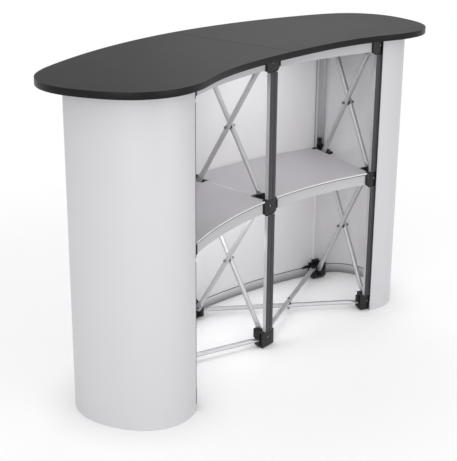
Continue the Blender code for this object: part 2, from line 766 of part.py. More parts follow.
def upright_sheet(name, path, bottom, top, thickness, outwards):
    # A strip standing on its path, given a thickness away from the frame or towards it.
    bm = bmesh.new()
    edges = [[bm.verts.new((p.x, p.y, z)) for p in path] for z in (bottom, top)]
    for index in range(len(path) - 1):
        bm.faces.new((edges[0][index], edges[0][index + 1], edges[1][index + 1], edges[1][index]))
    sheet = mesh_object(name, bm)
    shell = sheet.modifiers.new("thickness", "SOLIDIFY")
    shell.thickness = thickness
    shell.offset = -1 if outwards else 1
    shell.use_even_offset = True
    return baked(sheet)


def make_wrap():
    finish = material("white printed vinyl", (0.68, 0.68, 0.71), 0.4)
    sheet = upright_sheet("wrap", wrap_path(0), 0, TOP_UNDERSIDE - CLEARANCE, WRAP_THICKNESS, True)
    sheet = settle(sheet, FAN_CENTRE)
    magnets = []
    low = BASE_STRIP_HEIGHT + MAGNET_BASE_GAP
    high = TOP_UNDERSIDE - CLEARANCE
    buried = WRAP_INNER_FACE + WRAP_THICKNESS / 2
    for row in ROWS:
        for column in COLUMNS:
            middle = 0
            if row == "inner" and column == "centre":
                continue
            if row == "inner":
                side = 1 if column == "left" else -1
                middle = side * (WRAP_END_INSET + MAGNET_WIDTH / 2)
            strip = box("magnet strip", (middle - MAGNET_WIDTH / 2, BAR_FACE + CLEARANCE, low),
                        (middle + MAGNET_WIDTH / 2, buried, high))
            magnets.append(settle(strip, hub_frame(row, column)))
    finish_piece(combined(sheet, magnets, "UNION"), "wrap_panel", finish)


def make_base_strip():
    finish = material("grey vinyl strip", (0.30, 0.30, 0.31), 0.5)
    path = wrap_path(CLEARANCE)
    strip = upright_sheet("strip", path, BASE_STRIP_LIFT, BASE_STRIP_HEIGHT, BASE_STRIP_THICKNESS, False)
    finish_piece(settle(strip, FAN_CENTRE), "wrap_base_strip", finish)


clear_scene()
COUNTER = make_collection("exhibition_counter")
CUTTERS = make_collection("cutters")

make_hubs()
TUBE_FINISH = material("satin anodised aluminium", (0.38, 0.38, 0.40), 0.35, 0.9)
make_upright_scissors(TUBE_FINISH)
make_level_scissors(TUBE_FINISH)
make_bars()
make_tops()
make_aprons()
make_shelves()
make_wrap()
make_base_strip()
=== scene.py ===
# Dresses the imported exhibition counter: its finishes, its smooth and detailed pieces, a plain
# studio and the camera. Metres, +Z up, +X along the counter, +Y towards the convex public side.

from math import asin, cos, pi, radians, sin

import bmesh
import bpy
from mathutils import Matrix, Vector


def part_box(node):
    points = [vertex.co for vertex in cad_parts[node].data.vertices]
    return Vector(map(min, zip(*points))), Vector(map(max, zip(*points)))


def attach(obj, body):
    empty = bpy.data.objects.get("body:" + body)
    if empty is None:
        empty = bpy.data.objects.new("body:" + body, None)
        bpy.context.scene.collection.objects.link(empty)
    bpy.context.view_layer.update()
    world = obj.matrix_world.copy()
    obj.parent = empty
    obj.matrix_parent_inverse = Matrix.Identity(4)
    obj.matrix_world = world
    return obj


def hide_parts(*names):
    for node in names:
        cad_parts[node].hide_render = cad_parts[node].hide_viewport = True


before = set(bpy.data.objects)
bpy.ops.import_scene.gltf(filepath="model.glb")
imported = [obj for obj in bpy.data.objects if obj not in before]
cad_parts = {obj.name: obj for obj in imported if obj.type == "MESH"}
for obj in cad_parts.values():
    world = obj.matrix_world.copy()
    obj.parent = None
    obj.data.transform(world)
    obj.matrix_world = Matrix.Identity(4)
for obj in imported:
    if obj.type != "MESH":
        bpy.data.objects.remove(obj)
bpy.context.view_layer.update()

# Fan of hubs, as the solids have it, and the gap between pieces that touch
INNER_RADIUS = 1.230
OUTER_RADIUS = 1.5215
COLUMN_ANGLE = radians(21.25)
COLUMN_ANGLES = {"left": -COLUMN_ANGLE, "centre": 0, "right": COLUMN_ANGLE}
ROW_RADIUS = {"inner": INNER_RADIUS, "outer": OUTER_RADIUS}
COLUMNS = ("left", "centre", "right")
BAYS = ("left", "right")
LEVELS = ("foot", "middle", "top")
TIERS = ("lower", "upper")
GAP = 0.0003

# From the fan's centre through the right column, and square to that along the counter
OUTWARD = Vector((sin(COLUMN_ANGLE), cos(COLUMN_ANGLE)))
TANGENT = Vector((cos(COLUMN_ANGLE), -sin(COLUMN_ANGLE)))

# Hub moulding, from its own axis and centre: x across, y out of the frame, z up. Its plate has a
# groove behind it, and then comes the block with the tubes' sockets. What stands on the hub
# reaches into it by the sink.
HALF_HUB = 0.0285
HUB_RISE = 0.0225
HUB_DROP = 0.0285
HUB_SHOULDER = 0.009
HUB_FACE = 0.0198
HUB_BACK = 0.012
PLATE_THICKNESS = 0.0062
PLATE_ROUND = 0.0014
GROOVE_WIDTH = 0.005
GROOVE_DEPTH = 0.0045
BLOCK_ROUND = 0.0009
BLOCK_RAISE = 0.004
HUB_SINK = PLATE_ROUND * 2
PLATE_BACK = HUB_FACE - PLATE_THICKNESS
BLOCK_FRONT = PLATE_BACK - GROOVE_WIDTH
BLOCK_FOOT = -HUB_DROP + BLOCK_RAISE
FIN_RAISE = 0.005
SEAT_HEIGHT = 0.01605
FIN_HALF = 0.006
FIN_PIVOT_Y = -0.02333
FIN_REACH = 0.013
FIN_TIP_HEIGHT = 0.030
CORE_HALF = 0.01067
SIDE_PIVOT_X = 0.022
SIDE_PIVOT_Y = -0.00533
SOCKET_END = 0.006
PIVOT_RISE = 0.014
PIN_RADIUS = 0.0025
PIN_HEAD_RADIUS = 0.005
PIN_HEAD_HEIGHT = 0.002
TONGUE_HALF = 0.0141
TONGUE_HEIGHT = 0.010
TONGUE_DEPTH = 0.008
TONGUE_FRONT = 0.0201
PAD_HEIGHT = 0.004
PAD_INSET = 0.003
PEG_RADIUS = 0.004
PEG_HEIGHT = 0.009
PEG_SPACING = 0.030
PEG_MIDDLE = SOCKET_END + (HUB_FACE - SOCKET_END) / 2
CREST_HALF = 0.0038
CREST_HEAD = 0.0345
CREST_STEP = 0.0055
CREST_TIP = 0.0220
SLOT_SEAT_HALF = 0.0162
SLOT_SEAT_END = -0.0468
SLOT_SEAT_TURN = -0.0405
SLOT_SEAT_FOOT = 0.0110
SLOT_SEAT_HEAD = 0.0190
ARM_REACH = 0.026
ARM_STUB = 0.018
ARM_FOOT = 0.0035
ARM_HEAD = 0.0125
ARM_TIP = 0.0030
ARM_BACK = 0.0150
ARM_FRONT = 0.0216
POST_HALF = 0.0058
POST_BACK = 0.0100
POST_FRONT = 0.0185
POST_HEAD = 0.0560
LUG_REACH = 0.0042
LUG_FRONT = 0.0214
LUG_BACK = 0.0136
LUG_FOOT = -0.014
LUG_HEAD = 0.013
SCREW_RECESS_RADIUS = 0.0047
SCREW_RECESS_DEPTH = 0.0016
SCREW_RADIUS = 0.0038

# Shares of a radius and a height: the cross in a screw, and the outlines of rivet heads and caps
SCREW_CROSS_LENGTH = 0.55
SCREW_CROSS_WIDTH = 0.13
SCREW_CROSS_DEPTH = 0.6
HEAD_DOME = ((1, 0), (1, 0.35), (0.86, 0.72), (0.5, 0.94), (0, 1))
CAP_DOME = ((1, 0.62), (0.93, 0.82), (0.72, 0.95), (0.4, 1), (0, 1))

# Scissor tubes, pressed flat at both ends
TUBE_RADIUS = 0.00775
TUBE_FLAT = 0.004
FLAT_HALF_WIDTH = 0.01103
FLAT_LENGTH = 0.012
TAPER_LENGTH = 0.018
PAIR_OFFSET = 0.0083
PRESSED_SQUARENESS = 0.62
SADDLE_RADIUS = 0.0090
SADDLE_HALF = 0.0036
RIVET_CAP_RADIUS = 0.0045
RIVET_CAP_HEIGHT = 0.0068
LEVEL_CAP_HEIGHT = 0.0045
RIVET_CAP_SUNK = TUBE_RADIUS * 0.3

# Bars between the hubs: an aluminium channel with a dark strip on its face
BAR_HALF = 0.016
BAR_FACE = 0.0237
BAR_DEPTH = 0.0142
BAR_WALL = 0.0016
BAR_STRIP = 0.002
BAR_GROOVE_HALF = 0.003
BAR_GROOVE_DEPTH = 0.0012
CHANNEL_ROUND = 0.0004
BAR_STRIP_ROUND = 0.0005

# Top, aprons and shelf
TOP_OUTER_OVERHANG = 0.0907
TOP_OUTER_SWELL = 0.00355
TOP_INNER_OVERHANG = 0.0699
TOP_INNER_SWELL = 0.0196
TOP_LOBE_REACH = 0.23288
TOP_LOBE_FULLNESS = 0.8184
EDGING_THICKNESS = 0.0022
EDGING_ROUND = EDGING_THICKNESS * 0.45
EDGING_PROUD = 0.0002
SEAM_CHAMFER = 0.0010
SHELF_FRONT_OVERHANG = 0.020
SHELF_BACK_OVERHANG = 0.0245
SHELF_SLOT_DEPTH = 0.048
SHELF_SLOT_HALF = 0.01715
SHELF_ROUND = 0.0004
TRIM_THICKNESS = 0.0014
TRIM_PROUD = 0.0008
TRIM_DROP = 0.0034
TRIM_ROUND = 0.0005
# A dark strip under the shelf's trim, painted shadow of the trim
SHADE_STRIP_INSET = 0.0004
SHADE_STRIP_HANG = 0.0017
SHADE_STRIP_ROUND = 0.0003
SEAM_DEPTH = 0.0010
SEAM_BEAD_WIDTH = 0.0044
SEAM_BEAD_RISE = 0.0015
SEAM_BEAD_ROUND = SEAM_BEAD_RISE * 0.8
SEAM_LINE_WIDTH = 0.0012
APRON_FACE = 0.0115
APRON_THICKNESS = 0.0025
APRON_ROUND = 0.0006

# Wrap panel, its magnet strips and the strip along its foot
WRAP_INNER_FACE = 0.0270
WRAP_THICKNESS = 0.0023
WRAP_ROUND = 0.0005
WRAP_LOBE_REACH = 0.159
WRAP_LOBE_FULLNESS = 0.9212
WRAP_STRAIGHT = 0.017
WRAP_END_INSET = 0.0035
MAGNET_WIDTH = 0.010
MAGNET_FOOT = 0.041
MAGNET_ROUND = 0.0004
BASE_STRIP_THICKNESS = 0.003
BASE_STRIP_FULLNESS = 0.7
# The share of painted shade in the foot strip's colour at the floor
PAINTED_SHADE_AT_FLOOR = 0.85
# A dark line along the foot strip's head, painted shadow where the strip meets the panel
SHADE_LINE_HEIGHT = 0.0022
SHADE_LINE_THICKNESS = 0.0012
SHADE_LINE_ROUND = SHADE_LINE_THICKNESS * 0.4

# How finely round stretches are divided. Edges are rounded and drawn sharp from an angle on, in
# degrees: the fins' blunt corners from less than others, the shelf's slots from more.
LOBE_STEPS = 56
BAY_STEPS = 28
BULGE_STEPS = 12
TAPER_STEPS = 8
TIP_TURNS = (8, 22, 38, 55, 72)
TUBE_SIDES = 28
PIN_SIDES = 20
ROUNDED_ANGLE = 40
BLUNT_ANGLE = 25
SLOT_ANGLE = 60
SHARP_ANGLE = 35
STRIP_SHARP_ANGLE = 60

# Places read from the frame
FAN_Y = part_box("bar_outer_centre_upper")[1].y - OUTER_RADIUS - BAR_FACE
BELOW_HUB = {"foot": PAD_HEIGHT, "middle": TONGUE_HEIGHT, "top": TONGUE_HEIGHT}
LEVEL_CENTRES = [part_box(f"hub_inner_centre_{level}")[0].z + BELOW_HUB[level] + HUB_DROP
                 for level in LEVELS]
TOP_UNDERSIDE, TOP_SURFACE = (corner.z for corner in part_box("counter_top_right"))
APRON_FOOT, APRON_HEAD = (corner.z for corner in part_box("top_apron_right"))
SHELF_LIP_FOOT, SHELF_SURFACE = (corner.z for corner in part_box("shelf_right"))
SHELF_UNDERSIDE = LEVEL_CENTRES[1] + SEAT_HEIGHT + GAP
WRAP_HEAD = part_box("wrap_panel")[1].z
STRIP_FOOT, STRIP_HEAD = (corner.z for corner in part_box("wrap_base_strip"))


# Finishes

def linear(hex_colour):
    # An sRGB hex colour as linear red, green, blue and alpha.
    shares = [int(hex_colour[at:at + 2], 16) / 255 for at in (1, 3, 5)]
    return (*[s / 12.92 if s <= 0.04045 else ((s + 0.055) / 1.055) ** 2.4 for s in shares], 1)


def add_node(tree, kind, settings=(), links=()):
    # Adds a node, sets its properties and sockets, and links its sockets to outputs of others.
    node = tree.nodes.new(kind)
    for name, value in dict(settings).items():
        if isinstance(name, int) or name in node.inputs:
            node.inputs[name].default_value = value
        else:
            setattr(node, name, value)
    for name, (source, output) in dict(links).items():
        tree.links.new(source.outputs[output], node.inputs[name])
    return node


def new_finish(name, values):
    # A material with one Principled shader, its even values set on the shader's own sockets.
    made = bpy.data.materials.new(name)
    made.use_nodes = True
    shader = made.node_tree.nodes["Principled BSDF"]
    for socket, value in values.items():
        shader.inputs[socket].default_value = value
    return made, made.node_tree, shader


def grain(tree, size, detail, stretch=(1, 1, 1), warp=0.0):
    # Noise whose grains are about the given size across, drawn out along an axis by its stretch.
    place = add_node(tree, "ShaderNodeTexCoord")
    squeeze = add_node(tree, "ShaderNodeMapping", {"Scale": [1 / s for s in stretch]},
                       {"Vector": (place, "Object")})
    return add_node(tree, "ShaderNodeTexNoise", {"Scale": 1 / size, "Detail": detail, "Distortion": warp},
                    {"Vector": (squeeze, "Vector")})


def patterned_finish(name, values, tones, roughness, relief, broad, fine=None, fine_sheen=False,
                     mottling=0):
    # The colour drifts between two close tones with a broad pattern, and a fine one stands out in
    # relief, by a height and a strength. One pattern may do for both. The roughness follows the
    # broad one, or the fine one for a fine sheen. Mottling is the share of the fine one in the
    # colour.
    made, tree, shader = new_finish(name, values)
    drift = grain(tree, *broad)
    texture = grain(tree, *fine) if fine else drift
    colour = add_node(tree, "ShaderNodeMixRGB", {"Color1": linear(tones[0]), "Color2": linear(tones[1])},
                      {"Fac": (drift, "Fac")})
    if mottling:
        colour = add_node(tree, "ShaderNodeMixRGB", {"blend_type": "OVERLAY", "Fac": mottling},
                          {"Color1": (colour, "Color"), "Color2": (texture, "Fac")})
    sheen = add_node(tree, "ShaderNodeMapRange", {"To Min": roughness[0], "To Max": roughness[1]},
                     {"Value": (texture if fine_sheen else drift, "Fac")})
    bump = add_node(tree, "ShaderNodeBump", {"Distance": relief[0], "Strength": relief[1]},
                    {"Height": (texture, "Fac")})
    tree.links.new(colour.outputs["Color"], shader.inputs["Base Color"])
    tree.links.new(sheen.outputs["Result"], shader.inputs["Roughness"])
    tree.links.new(bump.outputs["Normal"], shader.inputs["Normal"])
    return made


def add_painted_foot_shade(made):
    # Painted shade: a grey mixed over the finish's own colour, which thickens towards the floor.
    tree = made.node_tree
    base_colour = tree.nodes["Principled BSDF"].inputs["Base Color"]
    clean = base_colour.links[0].from_node
    place = add_node(tree, "ShaderNodeTexCoord")
    height = add_node(tree, "ShaderNodeSeparateXYZ", {}, {0: (place, "Object")})
    foot_shade = add_node(tree, "ShaderNodeMapRange",
                    {"From Min": STRIP_FOOT, "From Max": STRIP_HEAD, "To Min": PAINTED_SHADE_AT_FLOOR,
                     "To Max": 0.0}, {"Value": (height, "Z")})
    # The grey that is painted on as shade towards the floor.
    foot_shaded = add_node(tree, "ShaderNodeMixRGB", {"Color2": linear("#666668")},
                     {"Fac": (foot_shade, "Result"), "Color1": (clean, "Color")})
    tree.links.new(foot_shaded.outputs["Color"], base_colour)


# Glass-filled nylon, injection moulded in a spark-eroded tool: near black, dull, with a fine
# grain. The grain is 0.3 mm and is drawn at 0.9 mm, so that it shows.
NYLON = patterned_finish(
    "moulded_nylon_black", {"IOR": 1.53, "Specular IOR Level": 0.35}, ("#0f0f11", "#19191b"),
    roughness=(0.40, 0.54), relief=(0.00006, 0.5), broad=(0.022, 2), fine=(0.0009, 3))

# Drawn aluminium tube, satin anodised: a soft grey sheen with faint lines along its length. Die
# lines are 0.1 mm apart and are drawn at 0.8 mm.
TUBE_ALUMINIUM = patterned_finish(
    "satin_anodised_tube", {"Metallic": 0.8}, ("#c6c6c8", "#d2d2d4"), roughness=(0.46, 0.58),
    relief=(0.00002, 0.2), broad=(0.030, 3), fine=(0.0008, 2, (60, 1, 1)), fine_sheen=True)

# Extruded aluminium channel, matt anodised: even pale grey with faint upright die lines, which
# are 0.1 mm apart and are drawn at 0.9 mm.
CHANNEL_ALUMINIUM = patterned_finish(
    "matt_anodised_channel", {"Metallic": 0.6}, ("#cdcdd0", "#d7d7d9"), roughness=(0.50, 0.60),
    relief=(0.00002, 0.35), broad=(0.050, 3), fine=(0.0009, 2, (1, 1, 80)), fine_sheen=True)

# Ferrite-filled rubber, extruded, of the magnets, the strips on the bars and the foot pads: dark warm
# grey, matt, slightly chalky, with faint draw lines. The same finish gives the dark strips of painted
# shadow under the shelf's trim, in the shelf's seam and along the head of the wrap's foot strip.
FERRITE_RUBBER_AND_SHADE = patterned_finish(
    "ferrite_rubber_and_painted_shade", {"IOR": 1.5}, ("#343235", "#3f3d40"), roughness=(0.50, 0.64),
    relief=(0.00005, 0.4), broad=(0.014, 4), fine=(0.0011, 2, (1, 1, 60)))

# Steel with a grey zinc coat, of the rivets, their caps and the screws: duller than the tubes and
# brighter than the hubs, with a spangle of 1 mm, drawn at 1.5 mm.
STEEL = patterned_finish(
    "grey_zinc_steel", {"Metallic": 1.0}, ("#77777a", "#8e8e91"), roughness=(0.34, 0.50),
    relief=(0.00003, 0.3), broad=(0.0015, 3))

# Soft polyethylene of the spacers between crossing tubes: black, with a low waxy sheen.
SPACER_PLASTIC = patterned_finish(
    "soft_spacer_black", {"IOR": 1.51}, ("#151517", "#202022"), roughness=(0.34, 0.44),
    relief=(0.00004, 0.3), broad=(0.004, 2), fine=(0.0008, 2))

# High-pressure laminate on board, graphite grey with a fine pearl finish: the speckle is 0.4 mm
# and is drawn at 1.6 mm, over broad, faint cloudiness.
GRAPHITE = patterned_finish(
    "graphite_laminate", {"IOR": 1.5, "Specular IOR Level": 0.15}, ("#1f1f21", "#252527"),
    roughness=(0.58, 0.64), relief=(0.00004, 0.35), broad=(0.120, 3), fine=(0.0016, 4), mottling=0.16)

# Black PVC edging, extruded: deep black with a low satin sheen and slight waves.
EDGING = patterned_finish(
    "satin_pvc_edging", {"IOR": 1.54, "Specular IOR Level": 0.12}, ("#161617", "#1d1d1e"),
    roughness=(0.30, 0.40), relief=(0.0001, 0.18), broad=(0.016, 2))

# Pale grey laminate on a thin board, softly matt, with a fine paper-like grain drawn at 2 mm.
SHELF_LAMINATE = patterned_finish(
    "pale_grey_laminate", {"IOR": 1.5}, ("#d3d1d5", "#dad8dc"), roughness=(0.42, 0.50),
    relief=(0.00004, 0.3), broad=(0.150, 3), fine=(0.002, 4, (3, 1, 1)))

# White PVC profile, extruded: clean, slightly cool white with a low sheen.
WHITE_PVC = patterned_finish(
    "white_pvc_profile", {"IOR": 1.53}, ("#f0f0f1", "#f5f5f6"), roughness=(0.38, 0.46),
    relief=(0.00003, 0.3), broad=(0.060, 3), fine=(0.0012, 2, (6, 6, 1)))

# Rigid foam board, of the boards under the shelf's and the top's inner edge, with a leathery skin
# of 0.7 mm, drawn at 1.5 mm. Its light grey, darker than the white trim, is painted shade for the
# shade under those edges.
FOAM_BOARD_PAINTED_SHADE = patterned_finish(
    "foam_board_painted_shade", {"IOR": 1.5, "Specular IOR Level": 0.3}, ("#c6c5c8", "#cdccce"),
    roughness=(0.50, 0.60), relief=(0.00004, 0.3), broad=(0.080, 3), fine=(0.0015, 3))

# The panel's face, white vinyl under a clear laminate film: cool white, with the film's fine
# orange-peel texture, 0.6 mm and drawn at 1.5 mm, and very slight clouding of the sheet.
VINYL = patterned_finish(
    "laminated_white_vinyl", {"IOR": 1.5, "Specular IOR Level": 0.25}, ("#d6d6d9", "#dddde0"),
    roughness=(0.36, 0.44), relief=(0.00005, 0.35), broad=(0.200, 3, (1, 1, 3)), fine=(0.0015, 3))

# The bare back of the panel, a white calendered polyester film: more matt than its face, with faint
# upright draw lines. It is brighter than the face partly as the film's own colour and partly as
# painted light, which lifts the shaded inside of the wrap.
PANEL_BACK = patterned_finish(
    "bare_polyester_back", {"IOR": 1.5, "Specular IOR Level": 0.35}, ("#f0eff1", "#f5f4f6"),
    roughness=(0.55, 0.62), relief=(0.00003, 0.25), broad=(0.200, 3, (1, 1, 3)),
    fine=(0.0015, 2, (1, 1, 40)))

# Flexible grey PVC strip, extruded, along the panel's foot: matt and scuffed, with painted shade that
# darkens it towards the floor.
GREY_PVC = patterned_finish(
    "grey_pvc_strip", {"IOR": 1.52}, ("#dcdcdf", "#e5e5e8"), roughness=(0.42, 0.58),
    relief=(0.00005, 0.3), broad=(0.080, 3), fine=(0.007, 4, (4, 4, 1), 0.4), fine_sheen=True,
    mottling=0.2)
# Painted shade on the foot strip, darker towards the floor.
add_painted_foot_shade(GREY_PVC)


# Places in the fan

def hub_frame(row, column, height=0):
    # The hub's own axes: y points out of the frame, away from the other row.
    angle = COLUMN_ANGLES[column]
    facing = -angle if row == "outer" else pi - angle
    radius = ROW_RADIUS[row]
    place = Matrix.Translation((radius * sin(angle), radius * cos(angle) + FAN_Y, height))
    return place @ Matrix.Rotation(facing, 4, "Z")


def lobe(near, far, reach, fullness, straight):
    # The rounded end beyond the right column, from the near side round to the far side. It is an
    # ellipse that a fullness below 1 squares out.
    middle, half = (near + far) / 2, (far - near) / 2
    points = []
    for step in range(LOBE_STEPS + 1):
        turn = pi * step / LOBE_STEPS
        side = -1 if cos(turn) < 0 else 1
        out = middle - half * side * abs(cos(turn)) ** fullness
        along = straight + (reach - straight) * abs(sin(turn)) ** fullness
        points.append(OUTWARD * out + TANGENT * along)
    return points


def bay_arc(radius, swell, first, last):
    # An arc across the right bay between two angles, pushed out by the swell in the middle.
    points = []
    for step in range(BAY_STEPS + 1):
        angle = first + (last - first) * step / BAY_STEPS
        reach = radius + swell * cos(pi / 2 * angle / COLUMN_ANGLE) ** 2
        points.append(Vector((reach * sin(angle), reach * cos(angle))))
    return points


def mirrored(points):
    return [Vector((-p.x, p.y)) for p in reversed(points)]


def for_bay(points, bay):
    # Points of the right bay, or their mirror image for the left one, in the frame's own place.
    chosen = points if bay == "right" else mirrored(points)
    return [p + Vector((0, FAN_Y)) for p in chosen]


def offset_path(path, distance):
    # Each point moves to the right of the way that the path runs.
    moved = []
    for index, point in enumerate(path):
        before = path[max(index - 1, 0)]
        after = path[min(index + 1, len(path) - 1)]
        along = (after - before).normalized()
        moved.append(point + Vector((along.y, -along.x)) * distance)
    return moved


# Mesh tools

def added(name, mesh):
    made = bpy.data.objects.new(name, mesh)
    bpy.context.scene.collection.objects.link(made)
    return made


def discard(*pieces):
    for piece in pieces:
        bpy.data.objects.remove(piece)


def mesh_object(name, bm):
    bmesh.ops.recalc_face_normals(bm, faces=bm.faces)
    mesh = bpy.data.meshes.new(name)
    bm.to_mesh(mesh)
    bm.free()
    return added(name, mesh)


def evaluated(made):
    # The mesh as the object's modifiers leave it; the object itself goes.
    bpy.context.view_layer.update()
    mesh = bpy.data.meshes.new_from_object(made.evaluated_get(bpy.context.evaluated_depsgraph_get()))
    mesh.name = name = made.name
    discard(made)
    return added(name, mesh)


def rounded(made, width, segments=2, angle=ROUNDED_ANGLE):
    # The piece with its edges rounded by the width, from the angle on.
    edge = made.modifiers.new("rounded edges", "BEVEL")
    edge.width = width
    edge.segments = segments
    edge.limit_method = "ANGLE"
    edge.angle_limit = radians(angle)
    return evaluated(made)


def joined(base, tools, operation):
    for tool in tools:
        step = base.modifiers.new(operation.lower(), "BOOLEAN")
        step.operation = operation
        step.object = tool
    result = evaluated(base)
    discard(*tools)
    return result


def gathered(name, parts):
    # Several pieces as one mesh, in which each stays whole.
    bm = bmesh.new()
    for part in parts:
        bm.from_mesh(part.data)
    discard(*parts)
    return mesh_object(name, bm)


def block(name, low, high):
    low, high = Vector(low), Vector(high)
    bm = bmesh.new()
    place = Matrix.Translation((low + high) / 2) @ Matrix.Diagonal((*(high - low), 1))
    bmesh.ops.create_cube(bm, size=1, matrix=place)
    return mesh_object(name, bm)


def slab(name, outline, low, high, matrix=None):
    # A flat outline with a thickness from low to high along z, then placed by the matrix.
    bm = bmesh.new()
    face = bm.faces.new([bm.verts.new((x, y, low)) for x, y in outline])
    extruded = bmesh.ops.extrude_face_region(bm, geom=[face])["geom"]
    moved = [v for v in extruded if isinstance(v, bmesh.types.BMVert)]
    bmesh.ops.translate(bm, verts=moved, vec=(0, 0, high - low))
    if matrix is not None:
        bmesh.ops.transform(bm, matrix=matrix, verts=bm.verts)
    return mesh_object(name, bm)


def turned(name, profile, start, direction):
    # A turned piece: pairs of radius and height, set on a point and standing along a direction.
    turn = Vector(direction).to_track_quat("Z", "Y").to_matrix().to_4x4()
    bm = bmesh.new()
    rings = []
    for radius, height in profile:
        steps = [2 * pi * step / PIN_SIDES for step in range(PIN_SIDES)] if radius else [0]
        rings.append([bm.verts.new((radius * cos(t), radius * sin(t), height)) for t in steps])
    for low, high in zip(rings, rings[1:]):
        for step in range(PIN_SIDES):
            corners = [low[step % len(low)], low[(step + 1) % len(low)],
                       high[(step + 1) % len(high)], high[step % len(high)]]
            bm.faces.new(list(dict.fromkeys(corners)))
    bmesh.ops.transform(bm, matrix=Matrix.Translation(start) @ turn, verts=bm.verts)
    return mesh_object(name, bm)


def rod(name, radius, length, start, direction):
    return turned(name, [(0, 0), (radius, 0), (radius, length), (0, length)], start, direction)


def skinned(name, sections):
    # A skin over a row of sections that have the same count of points, closed at both ends.
    bm = bmesh.new()
    rings = [[bm.verts.new(point) for point in section] for section in sections]
    for ring, following in zip(rings, rings[1:]):
        for step in range(len(ring)):
            after = (step + 1) % len(ring)
            bm.faces.new((ring[step], following[step], following[after], ring[after]))
    bm.faces.new(rings[0])
    bm.faces.new(rings[-1])
    return mesh_object(name, bm)


def swept(name, path, profile):
    # A strip along a plan path: the profile's pairs are the distance to the path's left and the
    # height.
    normals = [(a - b).normalized() for a, b in zip(offset_path(path, -1), path)]
    return skinned(name, [[(p.x + n.x * out, p.y + n.y * out, up) for out, up in profile]
                          for p, n in zip(path, normals)])


def mirrored_outline(right_half):
    return [(-x, y) for x, y in reversed(right_half)] + right_half


def soft_rectangle(left, right, foot, head, radius, steps=3):
    # A rectangle with round corners, as pairs for a swept profile.
    corners = [(right - radius, foot + radius, -pi / 2), (right - radius, head - radius, 0),
               (left + radius, head - radius, pi / 2), (left + radius, foot + radius, pi)]
    points = []
    for x, y, start in corners:
        for step in range(steps + 1):
            turn = start + pi / 2 * step / steps
            points.append((x + radius * cos(turn), y + radius * sin(turn)))
    return points


def shaded(made, finish, angle=SHARP_ANGLE):
    made.data.materials.clear()
    made.data.materials.append(finish)
    made.data.shade_smooth()
    made.data.set_sharp_from_angle(angle=radians(angle))
    return made


def edge_strip(path, left, right, foot, head, radius, finish):
    # A strip with round edges along a path, between two distances to its left and two heights.
    strip = swept("strip", path, soft_rectangle(left, right, foot, head, radius))
    return shaded(strip, finish, STRIP_SHARP_ANGLE)


def fitted(made, name, body, nodes=()):
    # Names a finished piece, sets it on its body and hides the model's parts that it stands for.
    made.name = name
    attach(made, body)
    if nodes:
        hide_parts(*nodes)
    return made


def placed_copy(piece, matrix):
    made = added("copy", piece.data)
    made.matrix_world = matrix
    return made


# Hubs

# Stands a flat outline on edge: its x runs along the hub's y, and its y upwards.
ON_EDGE = Matrix(((0, 0, 1, 0), (1, 0, 0, 0), (0, 1, 0, 0), (0, 0, 0, 1)))


def hub_outline(low, high, shoulder):
    # Across the hub: a rectangle whose lower corners are cut off at the shoulders.
    half = HALF_HUB
    lower = [(half - shoulder, low), (half, low + shoulder)] if shoulder else [(half, low)]
    return mirrored_outline(lower + [(half, high)])


def hub_slab(name, outline, back, front):
    # The outline's own y becomes the hub's z, and its thickness runs along the hub's y.
    return slab(name, outline, -front, -back, Matrix.Rotation(pi / 2, 4, "X"))


def hub_fin():
    # The upright fin that carries the upright scissors on both its sides, its corners rounded.
    root_low, root_high = -HUB_DROP + FIN_RAISE, HUB_RISE - HUB_SINK
    tip, half_tip = FIN_PIVOT_Y - FIN_REACH, FIN_TIP_HEIGHT / 2
    profile = [(HUB_BACK, root_low), (-HUB_BACK, root_low), (tip, -half_tip), (tip, half_tip),
               (-HUB_BACK, root_high), (HUB_BACK, root_high)]
    fin = slab("fin", profile, -FIN_HALF, FIN_HALF, ON_EDGE)
    return rounded(fin, BLOCK_ROUND * 2, segments=3, angle=BLUNT_ANGLE)


def fin_crest():
    # What stands above the shelf: the fin's thinner crest between the upright tubes' ends.
    tip, root = FIN_PIVOT_Y - FIN_REACH, SOCKET_END - GAP
    foot, low, high = FIN_TIP_HEIGHT / 2 - BLOCK_ROUND * 3, CREST_HEAD - CREST_STEP, CREST_HEAD
    middle = FIN_PIVOT_Y + CREST_STEP
    profile = [(root, foot), (tip, foot), (tip, CREST_TIP), (middle, low), (middle + CREST_STEP, high),
               (-SOCKET_END, high), (root, low)]
    crest = slab("crest", profile, -CREST_HALF, CREST_HALF, ON_EDGE)
    return rounded(crest, BLOCK_ROUND, angle=BLUNT_ANGLE)


def slot_seat():
    # The ledge that fills the shelf's slot round the fin: full on the side that no tube passes,
    # and only its far end on the other.
    full = block("seat", (FIN_HALF / 2, SLOT_SEAT_END, SLOT_SEAT_FOOT),
                 (SLOT_SEAT_HALF, -SOCKET_END, SLOT_SEAT_HEAD))
    end = block("seat", (-SLOT_SEAT_HALF, SLOT_SEAT_END, SLOT_SEAT_FOOT),
                (FIN_HALF, SLOT_SEAT_TURN, SLOT_SEAT_HEAD))
    return rounded(joined(full, [end], "UNION"), BLOCK_ROUND)


def hub_block(shoulder):
    # The block behind the plate, with a socket in each side for the level tubes' ends.
    outline = hub_outline(BLOCK_FOOT, SEAT_HEIGHT, shoulder)
    main = hub_slab("block", outline, -HUB_BACK, BLOCK_FRONT)
    half_slot = TUBE_FLAT / 2 + GAP
    far, back = HALF_HUB + PLATE_ROUND, -HUB_BACK - PLATE_ROUND
    sockets = [block("socket", (-far, back, PAIR_OFFSET - half_slot),
                     (-CORE_HALF, SOCKET_END, PAIR_OFFSET + half_slot)),
               block("socket", (CORE_HALF, back, -PAIR_OFFSET - half_slot),
                     (far, SOCKET_END, -PAIR_OFFSET + half_slot))]
    return rounded(joined(main, sockets, "DIFFERENCE"), BLOCK_ROUND)


